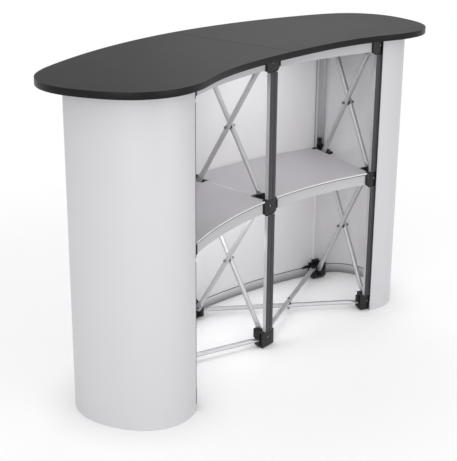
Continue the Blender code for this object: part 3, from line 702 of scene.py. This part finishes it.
def hub_tongues(level):
    # What the bars hook on: a tongue at the head and one at the foot, but none past the frame.
    tongues = []
    for end, face, outermost in ((1, HUB_RISE, "top"), (-1, -HUB_DROP, "foot")):
        if level != outermost:
            low, high = sorted((face - end * HUB_SINK, face + end * TONGUE_HEIGHT))
            tongue = block("tongue", (-TONGUE_HALF, TONGUE_FRONT - TONGUE_DEPTH, low),
                           (TONGUE_HALF, TONGUE_FRONT, high))
            tongues.append(rounded(tongue, BLOCK_ROUND))
    return tongues


def hub_pegs():
    # The two pegs of a top hub, which stand in holes in the top board.
    foot = HUB_RISE - HUB_SINK
    reach = PEG_HEIGHT + HUB_SINK
    profile = [(0, 0), (PEG_RADIUS, 0), (PEG_RADIUS, reach - BLOCK_ROUND),
               (PEG_RADIUS - BLOCK_ROUND, reach), (0, reach)]
    return [turned("peg", profile, (side * PEG_SPACING / 2, PEG_MIDDLE, foot), (0, 0, 1))
            for side in (-1, 1)]


def hub_body(level):
    shoulder = 0 if level == "foot" else HUB_SHOULDER
    plate = rounded(hub_slab("plate", hub_outline(-HUB_DROP, HUB_RISE, shoulder), PLATE_BACK, HUB_FACE),
                    PLATE_ROUND, segments=3)
    neck_half = HALF_HUB - GROOVE_DEPTH
    neck = block("neck", (-neck_half, BLOCK_FRONT - GROOVE_WIDTH / 2, BLOCK_FOOT + BLOCK_ROUND),
                 (neck_half, PLATE_BACK + PLATE_THICKNESS / 2, HUB_RISE - PLATE_ROUND))
    parts = [hub_block(shoulder), neck, hub_fin()]
    if level == "middle":
        parts += [fin_crest(), slot_seat()]
    parts += hub_tongues(level)
    if level == "top":
        parts += hub_pegs()
    made = joined(plate, parts, "UNION")
    recess = rod("recess", SCREW_RECESS_RADIUS, SCREW_RECESS_DEPTH * 2,
                 (0, HUB_FACE - SCREW_RECESS_DEPTH, 0), (0, 1, 0))
    return shaded(joined(made, [recess], "DIFFERENCE"), NYLON)


def rivet_head(start, direction, radius=PIN_HEAD_RADIUS, height=PIN_HEAD_HEIGHT):
    # A low domed head standing on a face.
    dome = [(radius * out, height * up) for out, up in HEAD_DOME]
    return turned("head", [(0, 0), *dome], start, direction)


def rivet_cap(start, direction, height):
    # A steel cap over a crossing's rivet: a straight skirt, sunk in the tube's back, and a dome.
    dome = [(RIVET_CAP_RADIUS * out, height * up) for out, up in CAP_DOME]
    skirt = [(0, -RIVET_CAP_SUNK), (RIVET_CAP_RADIUS, -RIVET_CAP_SUNK)]
    return turned("cap", skirt + dome, start, direction)


def face_screw():
    # The screw sunk in a hub's face, with a cross cut in its head.
    screw = rivet_head((0, HUB_FACE - SCREW_RECESS_DEPTH, 0), (0, 1, 0), SCREW_RADIUS, SCREW_RECESS_DEPTH)
    long, short = SCREW_RADIUS * SCREW_CROSS_LENGTH, SCREW_RADIUS * SCREW_CROSS_WIDTH
    floor = HUB_FACE - SCREW_RECESS_DEPTH * SCREW_CROSS_DEPTH
    slots = [block("slot", (-x, floor, -z), (x, HUB_FACE + GAP, z))
             for x, z in ((long, short), (short, long))]
    return joined(screw, slots, "DIFFERENCE")


def hub_fixings(level, sides):
    # The rivets that hold the tube ends, and the screw in the hub's face, as one set.
    parts = []
    reach = PAIR_OFFSET + TUBE_FLAT / 2 + GAP
    for side, height, outermost in ((-1, PIVOT_RISE, "top"), (1, -PIVOT_RISE, "foot")):
        if level != outermost:
            parts.append(rod("shank", PIN_RADIUS, reach, (0, FIN_PIVOT_Y, height), (side, 0, 0)))
            parts.append(rivet_head((side * reach, FIN_PIVOT_Y, height), (side, 0, 0)))
    length = TUBE_FLAT + GAP * 4
    for side in sides:
        foot = (side * SIDE_PIVOT_X, SIDE_PIVOT_Y, -side * PAIR_OFFSET - length / 2)
        parts.append(rod("shank", PIN_RADIUS, length, foot, (0, 0, 1)))
    return shaded(gathered("fixings", [*parts, face_screw()]), STEEL)


def hub_lug():
    # The lug on the side of a hub that the shelf or the top's apron butts against.
    lug = block("lug", (-HALF_HUB - LUG_REACH, LUG_BACK, LUG_FOOT),
                (-HALF_HUB + PLATE_ROUND, LUG_FRONT, LUG_HEAD))
    return shaded(rounded(lug, BLOCK_ROUND * 1.5, segments=3), NYLON)


def foot_arms(side):
    # The arms of an outer hub at the foot, which hold the strip along the wrap's foot: a long one
    # that tapers towards the centre and a short one on the given side.
    root = HALF_HUB - HUB_SINK
    far, near = -HALF_HUB - ARM_REACH, HALF_HUB + ARM_STUB
    tapered = [(far, ARM_FOOT), (-root, ARM_FOOT), (-root, ARM_HEAD), (far + ARM_REACH / 2, ARM_HEAD),
               (far, ARM_FOOT + ARM_TIP)]
    square = [(root, ARM_FOOT), (near, ARM_FOOT), (near, ARM_HEAD), (root, ARM_HEAD)]
    outlines = [tapered, square]
    if side < 0:
        outlines = [[(-x, z) for x, z in reversed(outline)] for outline in outlines]
    arms = [hub_slab("arm", outline, ARM_BACK, ARM_FRONT) for outline in outlines]
    return shaded(rounded(joined(arms[0], arms[1:], "UNION"), BLOCK_ROUND), NYLON)


def bar_post():
    # The post of an outer middle hub that stands up inside the hollow bar above it.
    post = block("post", (-POST_HALF, POST_BACK, HUB_RISE - HUB_SINK),
                 (POST_HALF, POST_FRONT, POST_HEAD))
    return shaded(rounded(post, BLOCK_ROUND, segments=3), NYLON)


def foot_pad():
    half = HALF_HUB - HUB_SINK - PAD_INSET
    pad = block("pad", (-half, -HUB_BACK + PAD_INSET, -HUB_DROP - PAD_HEIGHT),
                (half, HUB_FACE - PLATE_ROUND - PAD_INSET, -HUB_DROP + BLOCK_RAISE))
    return shaded(rounded(pad, BLOCK_ROUND, segments=3), FERRITE_RUBBER_AND_SHADE)


def make_hubs():
    socket_sides = {("inner", "left"): (-1,), ("inner", "centre"): (-1, 1), ("inner", "right"): (1,),
                    ("outer", "left"): (1,), ("outer", "centre"): (-1, 1), ("outer", "right"): (-1,)}
    pad, lug = foot_pad(), hub_lug()
    for level, height in zip(LEVELS, LEVEL_CENTRES):
        body = hub_body(level)
        fixings = {sides: hub_fixings(level, sides) for sides in dict.fromkeys(socket_sides.values())}
        for (row, column), sides in socket_sides.items():
            place = hub_frame(row, column, height)
            name = f"{row}_{column}_{level}"
            fitted(placed_copy(body, place), f"hub_body_{name}", "frame", [f"hub_{name}"])
            fitted(placed_copy(fixings[sides], place), f"hub_fixings_{name}", "frame")
            if level == "foot":
                fitted(placed_copy(pad, place), f"hub_pad_{name}", "frame")
            elif row == "inner":
                fitted(placed_copy(lug, place), f"hub_lug_{name}", "frame")
        discard(body, *fixings.values())
    discard(pad, lug)
    for column, side in (("left", -1), ("right", 1)):
        arms = foot_arms(side)
        arms.data.transform(hub_frame("outer", column, LEVEL_CENTRES[0]))
        fitted(arms, f"hub_arms_outer_{column}_foot", "frame")
    for column in COLUMNS:
        post = bar_post()
        post.data.transform(hub_frame("outer", column, LEVEL_CENTRES[1]))
        fitted(post, f"hub_post_outer_{column}_middle", "frame")


# Scissor tubes

def tube_section(station, share):
    # One section across the tube, from round at share 0 to pressed flat at share 1.
    points = []
    half_width = TUBE_RADIUS + (FLAT_HALF_WIDTH - TUBE_RADIUS) * share
    half_height = TUBE_RADIUS + (TUBE_FLAT / 2 - TUBE_RADIUS) * share
    power = 1 - PRESSED_SQUARENESS * share
    for step in range(TUBE_SIDES):
        turn = 2 * pi * (step + 0.5) / TUBE_SIDES
        across = abs(cos(turn)) ** power * (1 if cos(turn) > 0 else -1)
        up = abs(sin(turn)) ** power * (1 if sin(turn) > 0 else -1)
        points.append((station, half_width * across, half_height * up))
    return points


def tube_end():
    # Sections from the round tip of the pressed end to where the tube is round.
    sections = []
    for degrees in TIP_TURNS:
        tip = tube_section(-FLAT_HALF_WIDTH * cos(radians(degrees)), 1)
        narrow = sin(radians(degrees))
        sections.append([(x, y * narrow, z) for x, y, z in tip])
    sections.append(tube_section(0, 1))
    for step in range(TAPER_STEPS + 1):
        along = step / TAPER_STEPS
        ease = along * along * (3 - 2 * along)
        sections.append(tube_section(FLAT_LENGTH + TAPER_LENGTH * along, 1 - ease))
    return sections


def make_tube(length):
    # Lies along x from pivot to pivot, its pins along z.
    half = tube_end()
    sections = half + [[(length - x, y, z) for x, y, z in section] for section in reversed(half)]
    return shaded(skinned("tube", sections), TUBE_ALUMINIUM)


def crossing_saddle(crossing):
    # The spacer that keeps two crossing tubes apart. Its faces are sunk in both tubes, so only
    # its rim shows between them.
    half, rim = SADDLE_HALF, BLOCK_ROUND
    profile = [(0, -half), (SADDLE_RADIUS - rim, -half), (SADDLE_RADIUS, rim - half),
               (SADDLE_RADIUS, half - rim), (SADDLE_RADIUS - rim, half), (0, half)]
    return shaded(turned("saddle", profile, (crossing, 0, -PAIR_OFFSET), (0, 0, 1)), SPACER_PLASTIC)


def crossing_rivet(crossing, upper_cap):
    # The rivet through both tubes and its caps, which grip round the tubes' backs.
    below = -(2 * PAIR_OFFSET + TUBE_RADIUS)
    above = TUBE_RADIUS if upper_cap else 0
    parts = [rod("shank", PIN_RADIUS, above - below, (crossing, 0, below), (0, 0, 1)),
             rivet_cap((crossing, 0, below), (0, 0, -1), RIVET_CAP_HEIGHT)]
    if upper_cap:
        parts.append(rivet_cap((crossing, 0, above), (0, 0, 1), upper_cap))
    return shaded(gathered("rivet", parts), STEEL)


def between(start, end, pin_axis):
    # Lays a tube's own axes from one pivot to another, with its pins along the given axis.
    along = (end - start).normalized()
    across = pin_axis.cross(along).normalized()
    turn = Matrix((along, across, along.cross(across))).transposed().to_4x4()
    return Matrix.Translation(start) @ turn


def fin_pivot(row, column, level, going_up):
    side, height = (-1, PIVOT_RISE) if going_up else (1, -PIVOT_RISE)
    spot = Vector((side * PAIR_OFFSET, FIN_PIVOT_Y, height))
    return hub_frame(row, column, LEVEL_CENTRES[level]) @ spot


def side_pivot(row, column, level, side):
    spot = Vector((side * SIDE_PIVOT_X, SIDE_PIVOT_Y, -side * PAIR_OFFSET))
    return hub_frame(row, column, LEVEL_CENTRES[level]) @ spot


def make_pair(name, first, second, pin_axis, tube, rivet, saddle):
    for end, pivots in (("a", first), ("b", second)):
        fitted(placed_copy(tube, between(*pivots, pin_axis)), f"tube_{name}_{end}", "frame",
               [f"{name}_{end}"])
    matrix = between(*first, pin_axis)
    fitted(placed_copy(rivet, matrix), f"rivet_{name}", "frame")
    fitted(placed_copy(saddle, matrix), f"saddle_{name}", "frame")


def make_upright_scissors():
    rise = fin_pivot("outer", "centre", 1, False) - fin_pivot("inner", "centre", 0, True)
    tube = make_tube(rise.length)
    rivet = crossing_rivet(rise.length / 2, RIVET_CAP_HEIGHT)
    saddle = crossing_saddle(rise.length / 2)
    for column in COLUMNS:
        tangent = hub_frame("outer", column).to_3x3() @ Vector((1, 0, 0))
        for tier, tier_name in enumerate(TIERS):
            rising, falling = (
                (fin_pivot(low, column, tier, True), fin_pivot(high, column, tier + 1, False))
                for low, high in (("inner", "outer"), ("outer", "inner")))
            make_pair(f"upright_scissor_{column}_{tier_name}", rising, falling, tangent,
                      tube, rivet, saddle)
    discard(tube, rivet, saddle)


def make_level_scissors():
    # The outer pivots lie farther apart than the inner ones, so a pair crosses off its middle.
    inner_span = (side_pivot("inner", "centre", 0, -1) - side_pivot("inner", "right", 0, 1)).xy.length
    outer_span = (side_pivot("outer", "centre", 0, 1) - side_pivot("outer", "right", 0, -1)).xy.length
    length = (side_pivot("outer", "right", 0, -1) - side_pivot("inner", "centre", 0, -1)).length
    crossing = length * inner_span / (inner_span + outer_span)
    tube = make_tube(length)
    rivets = [crossing_rivet(crossing, cap) for cap in (LEVEL_CAP_HEIGHT, 0, LEVEL_CAP_HEIGHT)]
    saddle = crossing_saddle(crossing)
    for bay, left, right in zip(BAYS, COLUMNS, COLUMNS[1:]):
        for level, level_name in enumerate(LEVELS):
            upper = (side_pivot("inner", left, level, -1), side_pivot("outer", right, level, -1))
            lower = (side_pivot("inner", right, level, 1), side_pivot("outer", left, level, 1))
            make_pair(f"level_scissor_{bay}_{level_name}", upper, lower, Vector((0, 0, 1)),
                      tube, rivets[level], saddle)
    discard(tube, saddle, *rivets)


# Bars

def make_bars():
    back, web = BAR_FACE - BAR_DEPTH, BAR_FACE - BAR_STRIP
    inside, groove_floor = BAR_HALF - BAR_WALL, BAR_FACE - BAR_GROOVE_DEPTH
    channel_half = [(inside, web - BAR_WALL), (inside, back), (BAR_HALF, back), (BAR_HALF, web)]
    strip_half = [(BAR_HALF, web), (BAR_HALF, BAR_FACE), (BAR_GROOVE_HALF, BAR_FACE),
                  (BAR_GROOVE_HALF, groove_floor)]
    foot = HUB_RISE + GAP
    length = LEVEL_CENTRES[1] - HUB_DROP - GAP - (LEVEL_CENTRES[0] + foot)
    channel = slab("channel", mirrored_outline(channel_half), 0, length)
    channel = shaded(rounded(channel, CHANNEL_ROUND), CHANNEL_ALUMINIUM)
    strip = slab("strip", mirrored_outline(strip_half), 0, length)
    strip = shaded(rounded(strip, BAR_STRIP_ROUND), FERRITE_RUBBER_AND_SHADE)
    for row in ROW_RADIUS:
        for column in COLUMNS:
            for tier, tier_name in enumerate(TIERS):
                if row == "outer" and tier == 0:
                    continue
                place = hub_frame(row, column, LEVEL_CENTRES[tier] + foot)
                name = f"{row}_{column}_{tier_name}"
                fitted(placed_copy(channel, place), f"bar_channel_{name}", "frame")
                fitted(placed_copy(strip, place), f"bar_strip_{name}", "frame",
                       [f"bar_{name}"])
    discard(channel, strip)


# Top and aprons

def top_path():
    # Round the right half's rim, from the seam on the inner side to the seam on the outer side.
    near, far = INNER_RADIUS - TOP_INNER_OVERHANG, OUTER_RADIUS + TOP_OUTER_OVERHANG
    seam_near = asin(GAP / 2 / (near - TOP_INNER_SWELL))
    seam_far = asin(GAP / 2 / (far + TOP_OUTER_SWELL))
    inner = bay_arc(near, -TOP_INNER_SWELL, seam_near, COLUMN_ANGLE)
    outer = bay_arc(far, TOP_OUTER_SWELL, COLUMN_ANGLE, seam_far)
    return inner + lobe(near, far, TOP_LOBE_REACH, TOP_LOBE_FULLNESS, 0)[1:-1] + outer


def peg_holes(bay):
    # One hole for each peg that stands under this half of the top.
    holes = []
    for row in ROW_RADIUS:
        for column in ("centre", bay):
            for side in (-1, 1):
                spot = hub_frame(row, column) @ Vector((side * PEG_SPACING / 2, PEG_MIDDLE, 0))
                if (spot.x < 0) == (bay == "left"):
                    start = (spot.x, spot.y, TOP_UNDERSIDE - PAD_HEIGHT / 2)
                    bore = PEG_RADIUS + GAP * 2
                    holes.append(rod("peg hole", bore, PEG_HEIGHT + PAD_HEIGHT, start, (0, 0, 1)))
    return holes


def open_seam(board):
    # Breaks the upper edge where the two halves of the top meet, down into the darker core.
    board.data.materials.append(EDGING)
    bm = bmesh.new()
    bm.from_mesh(board.data)
    head = max(v.co.z for v in bm.verts) - GAP
    rim = [e for e in bm.edges if all(abs(v.co.x) < GAP and v.co.z > head for v in e.verts)]
    broken = bmesh.ops.bevel(bm, geom=rim, offset=SEAM_CHAMFER, segments=1, affect="EDGES")
    for face in broken["faces"]:
        face.material_index = 1
    bm.to_mesh(board.data)
    bm.free()


def make_tops():
    rim = top_path()
    inset = offset_path(rim, -EDGING_THICKNESS)
    # At the seam the board reaches as far as its edging does.
    for end in (0, -1):
        inset[end].x = rim[end].x
    for bay in BAYS:
        board = slab("board", for_bay(inset, bay), TOP_UNDERSIDE, TOP_SURFACE - EDGING_PROUD)
        board = shaded(joined(board, peg_holes(bay), "DIFFERENCE"), GRAPHITE)
        open_seam(board)
        fitted(board, f"top_board_{bay}", f"top_{bay}", [f"counter_top_{bay}"])
        edging = edge_strip(for_bay(rim, bay), 0, EDGING_THICKNESS, TOP_UNDERSIDE, TOP_SURFACE,
                            EDGING_ROUND, EDGING)
        fitted(edging, f"top_edging_{bay}", f"top_{bay}")


def between_hubs(radius, clearance, bay):
    # An arc across a bay that stops the clearance short of the hubs at both its ends.
    end = asin((HALF_HUB + clearance) / radius)
    return for_bay(bay_arc(radius, 0, end, COLUMN_ANGLE - end), bay)


def edge_board(bay, foot, head):
    # The bent board under the inner edge of the top or of the shelf.
    path = between_hubs(INNER_RADIUS - APRON_FACE, GAP, bay)
    return edge_strip(path, 0, APRON_THICKNESS, foot, head, APRON_ROUND, FOAM_BOARD_PAINTED_SHADE)


def make_aprons():
    for bay in BAYS:
        apron = edge_board(bay, APRON_FOOT, APRON_HEAD)
        fitted(apron, f"apron_{bay}", "frame", [f"top_apron_{bay}"])


# Shelf

def shelf_outline():
    front = INNER_RADIUS - SHELF_FRONT_OVERHANG + TRIM_THICKNESS
    back = OUTER_RADIUS + SHELF_BACK_OVERHANG
    inner = bay_arc(front, 0, asin(GAP / 2 / front), COLUMN_ANGLE - asin(SHELF_SLOT_HALF / front))
    outer = bay_arc(back, 0, COLUMN_ANGLE - asin(SHELF_SLOT_HALF / back), asin(GAP / 2 / back))
    return inner + outer


def notches(bay):
    # Room for the hubs' plates and fins where the shelf passes them.
    low, high = SHELF_LIP_FOOT - PAD_HEIGHT, SHELF_SURFACE + PAD_HEIGHT
    wide = HALF_HUB + GAP
    tools = []
    for row in ROW_RADIUS:
        for column in ("centre", bay):
            plate = block("plate notch", (-wide, SOCKET_END - GAP, low), (wide, wide, high))
            fin = block("fin slot", (-SHELF_SLOT_HALF, -SHELF_SLOT_DEPTH, low),
                        (SHELF_SLOT_HALF, SOCKET_END, high))
            for tool in (plate, fin):
                tool.data.transform(hub_frame(row, column))
                tools.append(tool)
    return tools


def seam_strip(bay):
    # Along the seam between the shelf halves: a white bead on the left one's end, and on the right
    # one's a dark line that is painted shadow in the seam.
    near, far = FAN_Y + INNER_RADIUS + SHELF_SLOT_DEPTH, FAN_Y + OUTER_RADIUS - SHELF_SLOT_DEPTH
    foot = SHELF_SURFACE - SEAM_DEPTH
    if bay == "left":
        bead = block("bead", (-SEAM_BEAD_WIDTH, near, foot),
                     (-GAP / 2, far, SHELF_SURFACE + SEAM_BEAD_RISE))
        return shaded(rounded(bead, SEAM_BEAD_ROUND, segments=3), WHITE_PVC)
    # Painted shadow: a dark line along the right half's end.
    line = block("line", (GAP / 2, near, foot), (SEAM_LINE_WIDTH, far, SHELF_SURFACE + GAP / 2))
    return shaded(line, FERRITE_RUBBER_AND_SHADE)


def make_shelves():
    # A shelf half's body and its node in the frame have the same name.
    trim_foot = SHELF_SURFACE - TRIM_DROP
    for bay in BAYS:
        body = f"shelf_{bay}"
        panel = slab("panel", for_bay(shelf_outline(), bay), SHELF_UNDERSIDE, SHELF_SURFACE)
        panel = joined(panel, notches(bay), "DIFFERENCE")
        panel = rounded(panel, SHELF_ROUND, segments=1, angle=SLOT_ANGLE)
        fitted(shaded(panel, SHELF_LAMINATE), f"shelf_panel_{bay}", body, [body])
        fitted(seam_strip(bay), f"shelf_seam_{bay}", body)
        path = between_hubs(INNER_RADIUS - SHELF_FRONT_OVERHANG, GAP * 4, bay)
        trim = edge_strip(path, 0, TRIM_THICKNESS, trim_foot, SHELF_SURFACE + TRIM_PROUD, TRIM_ROUND,
                          WHITE_PVC)
        fitted(trim, f"shelf_trim_{bay}", body)
        # Painted shadow: a dark strip under the trim, for the shadow that the trim casts.
        trim_shade_strip = edge_strip(path, SHADE_STRIP_INSET, TRIM_THICKNESS, SHELF_UNDERSIDE - SHADE_STRIP_HANG, trim_foot,
                            SHADE_STRIP_ROUND, FERRITE_RUBBER_AND_SHADE)
        fitted(trim_shade_strip, f"shelf_trim_shade_{bay}", body)
        lip = edge_board(bay, SHELF_LIP_FOOT, SHELF_UNDERSIDE - GAP)
        fitted(lip, f"shelf_lip_{bay}", body)


# Wrap panel

def wrap_path():
    # Along the inside of the wrap from its end on the inner left bar, round the outer side, to
    # its end on the inner right bar.
    near, far = INNER_RADIUS - WRAP_INNER_FACE, OUTER_RADIUS + WRAP_INNER_FACE
    round_end = list(reversed(lobe(near, far, WRAP_LOBE_REACH, WRAP_LOBE_FULLNESS, WRAP_STRAIGHT)))
    end = OUTWARD * near + TANGENT * WRAP_END_INSET
    right = bay_arc(far, 0, 0, COLUMN_ANGLE) + round_end + [end]
    left = mirrored(right)
    return [p + Vector((0, FAN_Y)) for p in left + right[1:]]


def make_sheet():
    # The flexible panel, with its bare back on the faces towards the frame.
    path = wrap_path()
    profile = soft_rectangle(0, WRAP_THICKNESS, 0, WRAP_HEAD, WRAP_ROUND, steps=2)
    sheet = shaded(swept("wrap", path, profile), VINYL, STRIP_SHARP_ANGLE)
    sheet.data.materials.append(PANEL_BACK)
    following = profile[1:] + profile[:1]
    faces_in = [max(a[0], b[0]) < WRAP_THICKNESS / 4 for a, b in zip(profile, following)]
    for index in range(len(profile) * (len(path) - 1)):
        if faces_in[index % len(profile)]:
            sheet.data.polygons[index].material_index = 1
    fitted(sheet, "wrap_sheet", "frame", ["wrap_panel"])


def make_magnets():
    # The tapes that hold the panel on the bars: near its ends on the inner row, and at every
    # column of the outer row, where the lower stretch is as pale as the panel's back.
    meeting, head = LEVEL_CENTRES[1], WRAP_HEAD - GAP
    stretches = {"inner": [("", MAGNET_FOOT, head, FERRITE_RUBBER_AND_SHADE)],
                 "outer": [("_lower", MAGNET_FOOT, meeting, PANEL_BACK),
                           ("_upper", meeting + GAP, head, FERRITE_RUBBER_AND_SHADE)]}
    half = MAGNET_WIDTH / 2
    end = WRAP_END_INSET + half
    middles = {("inner", "left"): end, ("inner", "right"): -end,
               ("outer", "left"): 0, ("outer", "centre"): 0, ("outer", "right"): 0}
    for (row, column), middle in middles.items():
        for ending, low, high, finish in stretches[row]:
            tape = block("magnet", (middle - half, BAR_FACE + GAP, low),
                         (middle + half, WRAP_INNER_FACE + GAP, high))
            tape.data.transform(hub_frame(row, column))
            tape = shaded(rounded(tape, MAGNET_ROUND), finish)
            fitted(tape, f"wrap_magnet_{row}_{column}{ending}", "frame")


def make_base_strip():
    # A strip that bulges away from the panel, with a dark line of painted shadow along its head.
    path = wrap_path()
    seam = STRIP_HEAD - SHADE_LINE_HEIGHT
    middle, half = (STRIP_FOOT + seam) / 2, (seam - STRIP_FOOT) / 2
    bulge = []
    for step in range(BULGE_STEPS + 1):
        turn = -pi / 2 + pi * step / BULGE_STEPS
        out = -GAP - BASE_STRIP_THICKNESS * cos(turn) ** BASE_STRIP_FULLNESS
        bulge.append((out, middle + half * sin(turn)))
    strip = swept("foot strip", path, [*bulge, (-GAP, seam), (-GAP, STRIP_FOOT)])
    fitted(shaded(strip, GREY_PVC, STRIP_SHARP_ANGLE), "wrap_foot_strip", "frame",
           ["wrap_base_strip"])
    # Painted shadow: a dark line between the strip's head and the panel.
    foot_shade_line = edge_strip(path, -GAP - SHADE_LINE_THICKNESS, -GAP, seam + GAP, STRIP_HEAD, SHADE_LINE_ROUND,
                        FERRITE_RUBBER_AND_SHADE)
    fitted(foot_shade_line, "wrap_foot_shade_line", "frame")


make_hubs()
make_upright_scissors()
make_level_scissors()
make_bars()
make_tops()
make_aprons()
make_shelves()
make_sheet()
make_magnets()
make_base_strip()


# Studio

FLOOR_HALF = 9.0
FLOOR_LIFT = 0.29
CONTACT_SHADOW_REACH = 0.12
PLAIN_FLOOR_FROM = 0.9
PLAIN_FLOOR_TO = 1.9
SOFT_LIGHT = 0.64
CAMERA_PLACE = Vector((-2.3001, -1.9138, 1.4908))
CAMERA_HEADING = radians(48.263)
CAMERA_PITCH = radians(-17.641)
CAMERA_LENS = 79.889
CAMERA_SHIFT = (0.05, -0.12)

# Lamps: two broad ones in front, one over the top and weak ones inside, under the top and the
# shelf. Each has its place, the point it faces, its width and height, and its watts.
LAMPS = {
    "key_left": ((-3.8, -1.8, 1.5), (-0.2, 0, 0.5), (2.4, 2.2), 44),
    "key_front": ((0.2, -4.2, 0.9), (0.0, 0, 0.45), (2.8, 1.4), 32),
    "overhead": ((1.3, 0.7, 1.9), (0.35, 0.1, 0.95), (1.2, 1.0), 6),
    "under_top_left": ((-0.18, 0.02, 0.868), (-0.18, 0.05, 0.45), (0.24, 0.14), 0.25),
    "under_top_right": ((0.23, -0.02, 0.868), (0.27, 0.08, 0.45), (0.26, 0.14), 0.38),
    "under_shelf_left": ((-0.18, -0.03, 0.430), (-0.10, 0.24, 0.10), (0.30, 0.12), 0.54),
    "under_shelf_right": ((0.18, -0.02, 0.430), (0.20, 0.22, 0.15), (0.30, 0.12), 0.16),
}


def seen_rays(tree):
    # 1 for the rays that carry the white background: camera, glossy and transmitted ones.
    rays = add_node(tree, "ShaderNodeLightPath")
    seen = add_node(tree, "ShaderNodeMath", {"operation": "MAXIMUM"},
                    {0: (rays, "Is Camera Ray"), 1: (rays, "Is Glossy Ray")})
    return add_node(tree, "ShaderNodeMath", {"operation": "MAXIMUM"},
                    {0: (seen, "Value"), 1: (rays, "Is Transmission Ray")})


def floor_finish():
    # Matt white paint. The camera sees it lifted, so that open floor reads as white. The lift
    # eases off close to what stands on the floor, which paints a soft contact shadow there, and
    # away from the counter the floor is plain white.
    made, tree, shader = new_finish("matt_white_floor", {
        "Base Color": linear("#f4f4f4"), "Roughness": 0.9, "Specular IOR Level": 0.1,
        "Emission Color": (1, 1, 1, 1)})
    seen = seen_rays(tree)
    # Painted shadow: ambient occlusion lowers the lift near what stands on the floor.
    openness = add_node(tree, "ShaderNodeAmbientOcclusion", {"Distance": CONTACT_SHADOW_REACH})
    lift_seen = add_node(tree, "ShaderNodeMath", {"operation": "MULTIPLY", 1: FLOOR_LIFT},
                         {0: (seen, "Value")})
    lift = add_node(tree, "ShaderNodeMath", {"operation": "MULTIPLY"},
                    {0: (lift_seen, "Value"), 1: (openness, "AO")})
    tree.links.new(lift.outputs["Value"], shader.inputs["Emission Strength"])
    place = add_node(tree, "ShaderNodeTexCoord")
    away = add_node(tree, "ShaderNodeVectorMath", {"operation": "LENGTH"}, {0: (place, "Object")})
    fade = add_node(tree, "ShaderNodeMapRange",
                    {"interpolation_type": "SMOOTHSTEP", "From Min": PLAIN_FLOOR_FROM,
                     "From Max": PLAIN_FLOOR_TO}, {"Value": (away, "Value")})
    share = add_node(tree, "ShaderNodeMath", {"operation": "MULTIPLY"},
                     {0: (fade, "Result"), 1: (seen, "Value")})
    white = add_node(tree, "ShaderNodeEmission", {"Color": (1, 1, 1, 1), "Strength": 1.0})
    mix = add_node(tree, "ShaderNodeMixShader", {},
                   {0: (share, "Value"), 1: (shader, "BSDF"), 2: (white, "Emission")})
    tree.links.new(mix.outputs["Shader"], tree.nodes["Material Output"].inputs["Surface"])
    return made


def make_floor():
    bm = bmesh.new()
    bmesh.ops.create_grid(bm, x_segments=4, y_segments=4, size=FLOOR_HALF)
    floor = mesh_object("studio_floor", bm)
    floor.data.materials.append(floor_finish())


def make_world():
    # Even soft light from all round. Camera, glossy and transmitted rays see plain white.
    world = bpy.data.worlds.new("studio")
    bpy.context.scene.world = world
    world.use_nodes = True
    tree = world.node_tree
    tree.nodes.clear()
    seen = seen_rays(tree)
    soft = add_node(tree, "ShaderNodeBackground", {"Color": linear("#fbfafb"), "Strength": SOFT_LIGHT})
    white = add_node(tree, "ShaderNodeBackground", {"Color": (1, 1, 1, 1), "Strength": 1.0})
    mix = add_node(tree, "ShaderNodeMixShader", {},
                   {0: (seen, "Value"), 1: (soft, "Background"), 2: (white, "Background")})
    add_node(tree, "ShaderNodeOutputWorld", {}, {"Surface": (mix, "Shader")})


def make_lamps():
    for name, (place, aim, size, power) in LAMPS.items():
        lamp = bpy.data.lights.new(name, "AREA")
        lamp.shape = "RECTANGLE"
        lamp.size, lamp.size_y = size
        lamp.energy = power
        made = added(name, lamp)
        made.location = place
        made.rotation_euler = (Vector(aim) - Vector(place)).to_track_quat("-Z", "Y").to_euler()


def make_camera():
    lens = bpy.data.cameras.new("camera")
    lens.lens = CAMERA_LENS
    lens.shift_x, lens.shift_y = CAMERA_SHIFT
    camera = added("camera", lens)
    camera.location = CAMERA_PLACE
    camera.rotation_euler = (pi / 2 + CAMERA_PITCH, 0, -CAMERA_HEADING)
    bpy.context.scene.camera = camera


make_floor()
make_world()
make_lamps()
make_camera()
bpy.context.scene.view_settings.view_transform = "Standard"
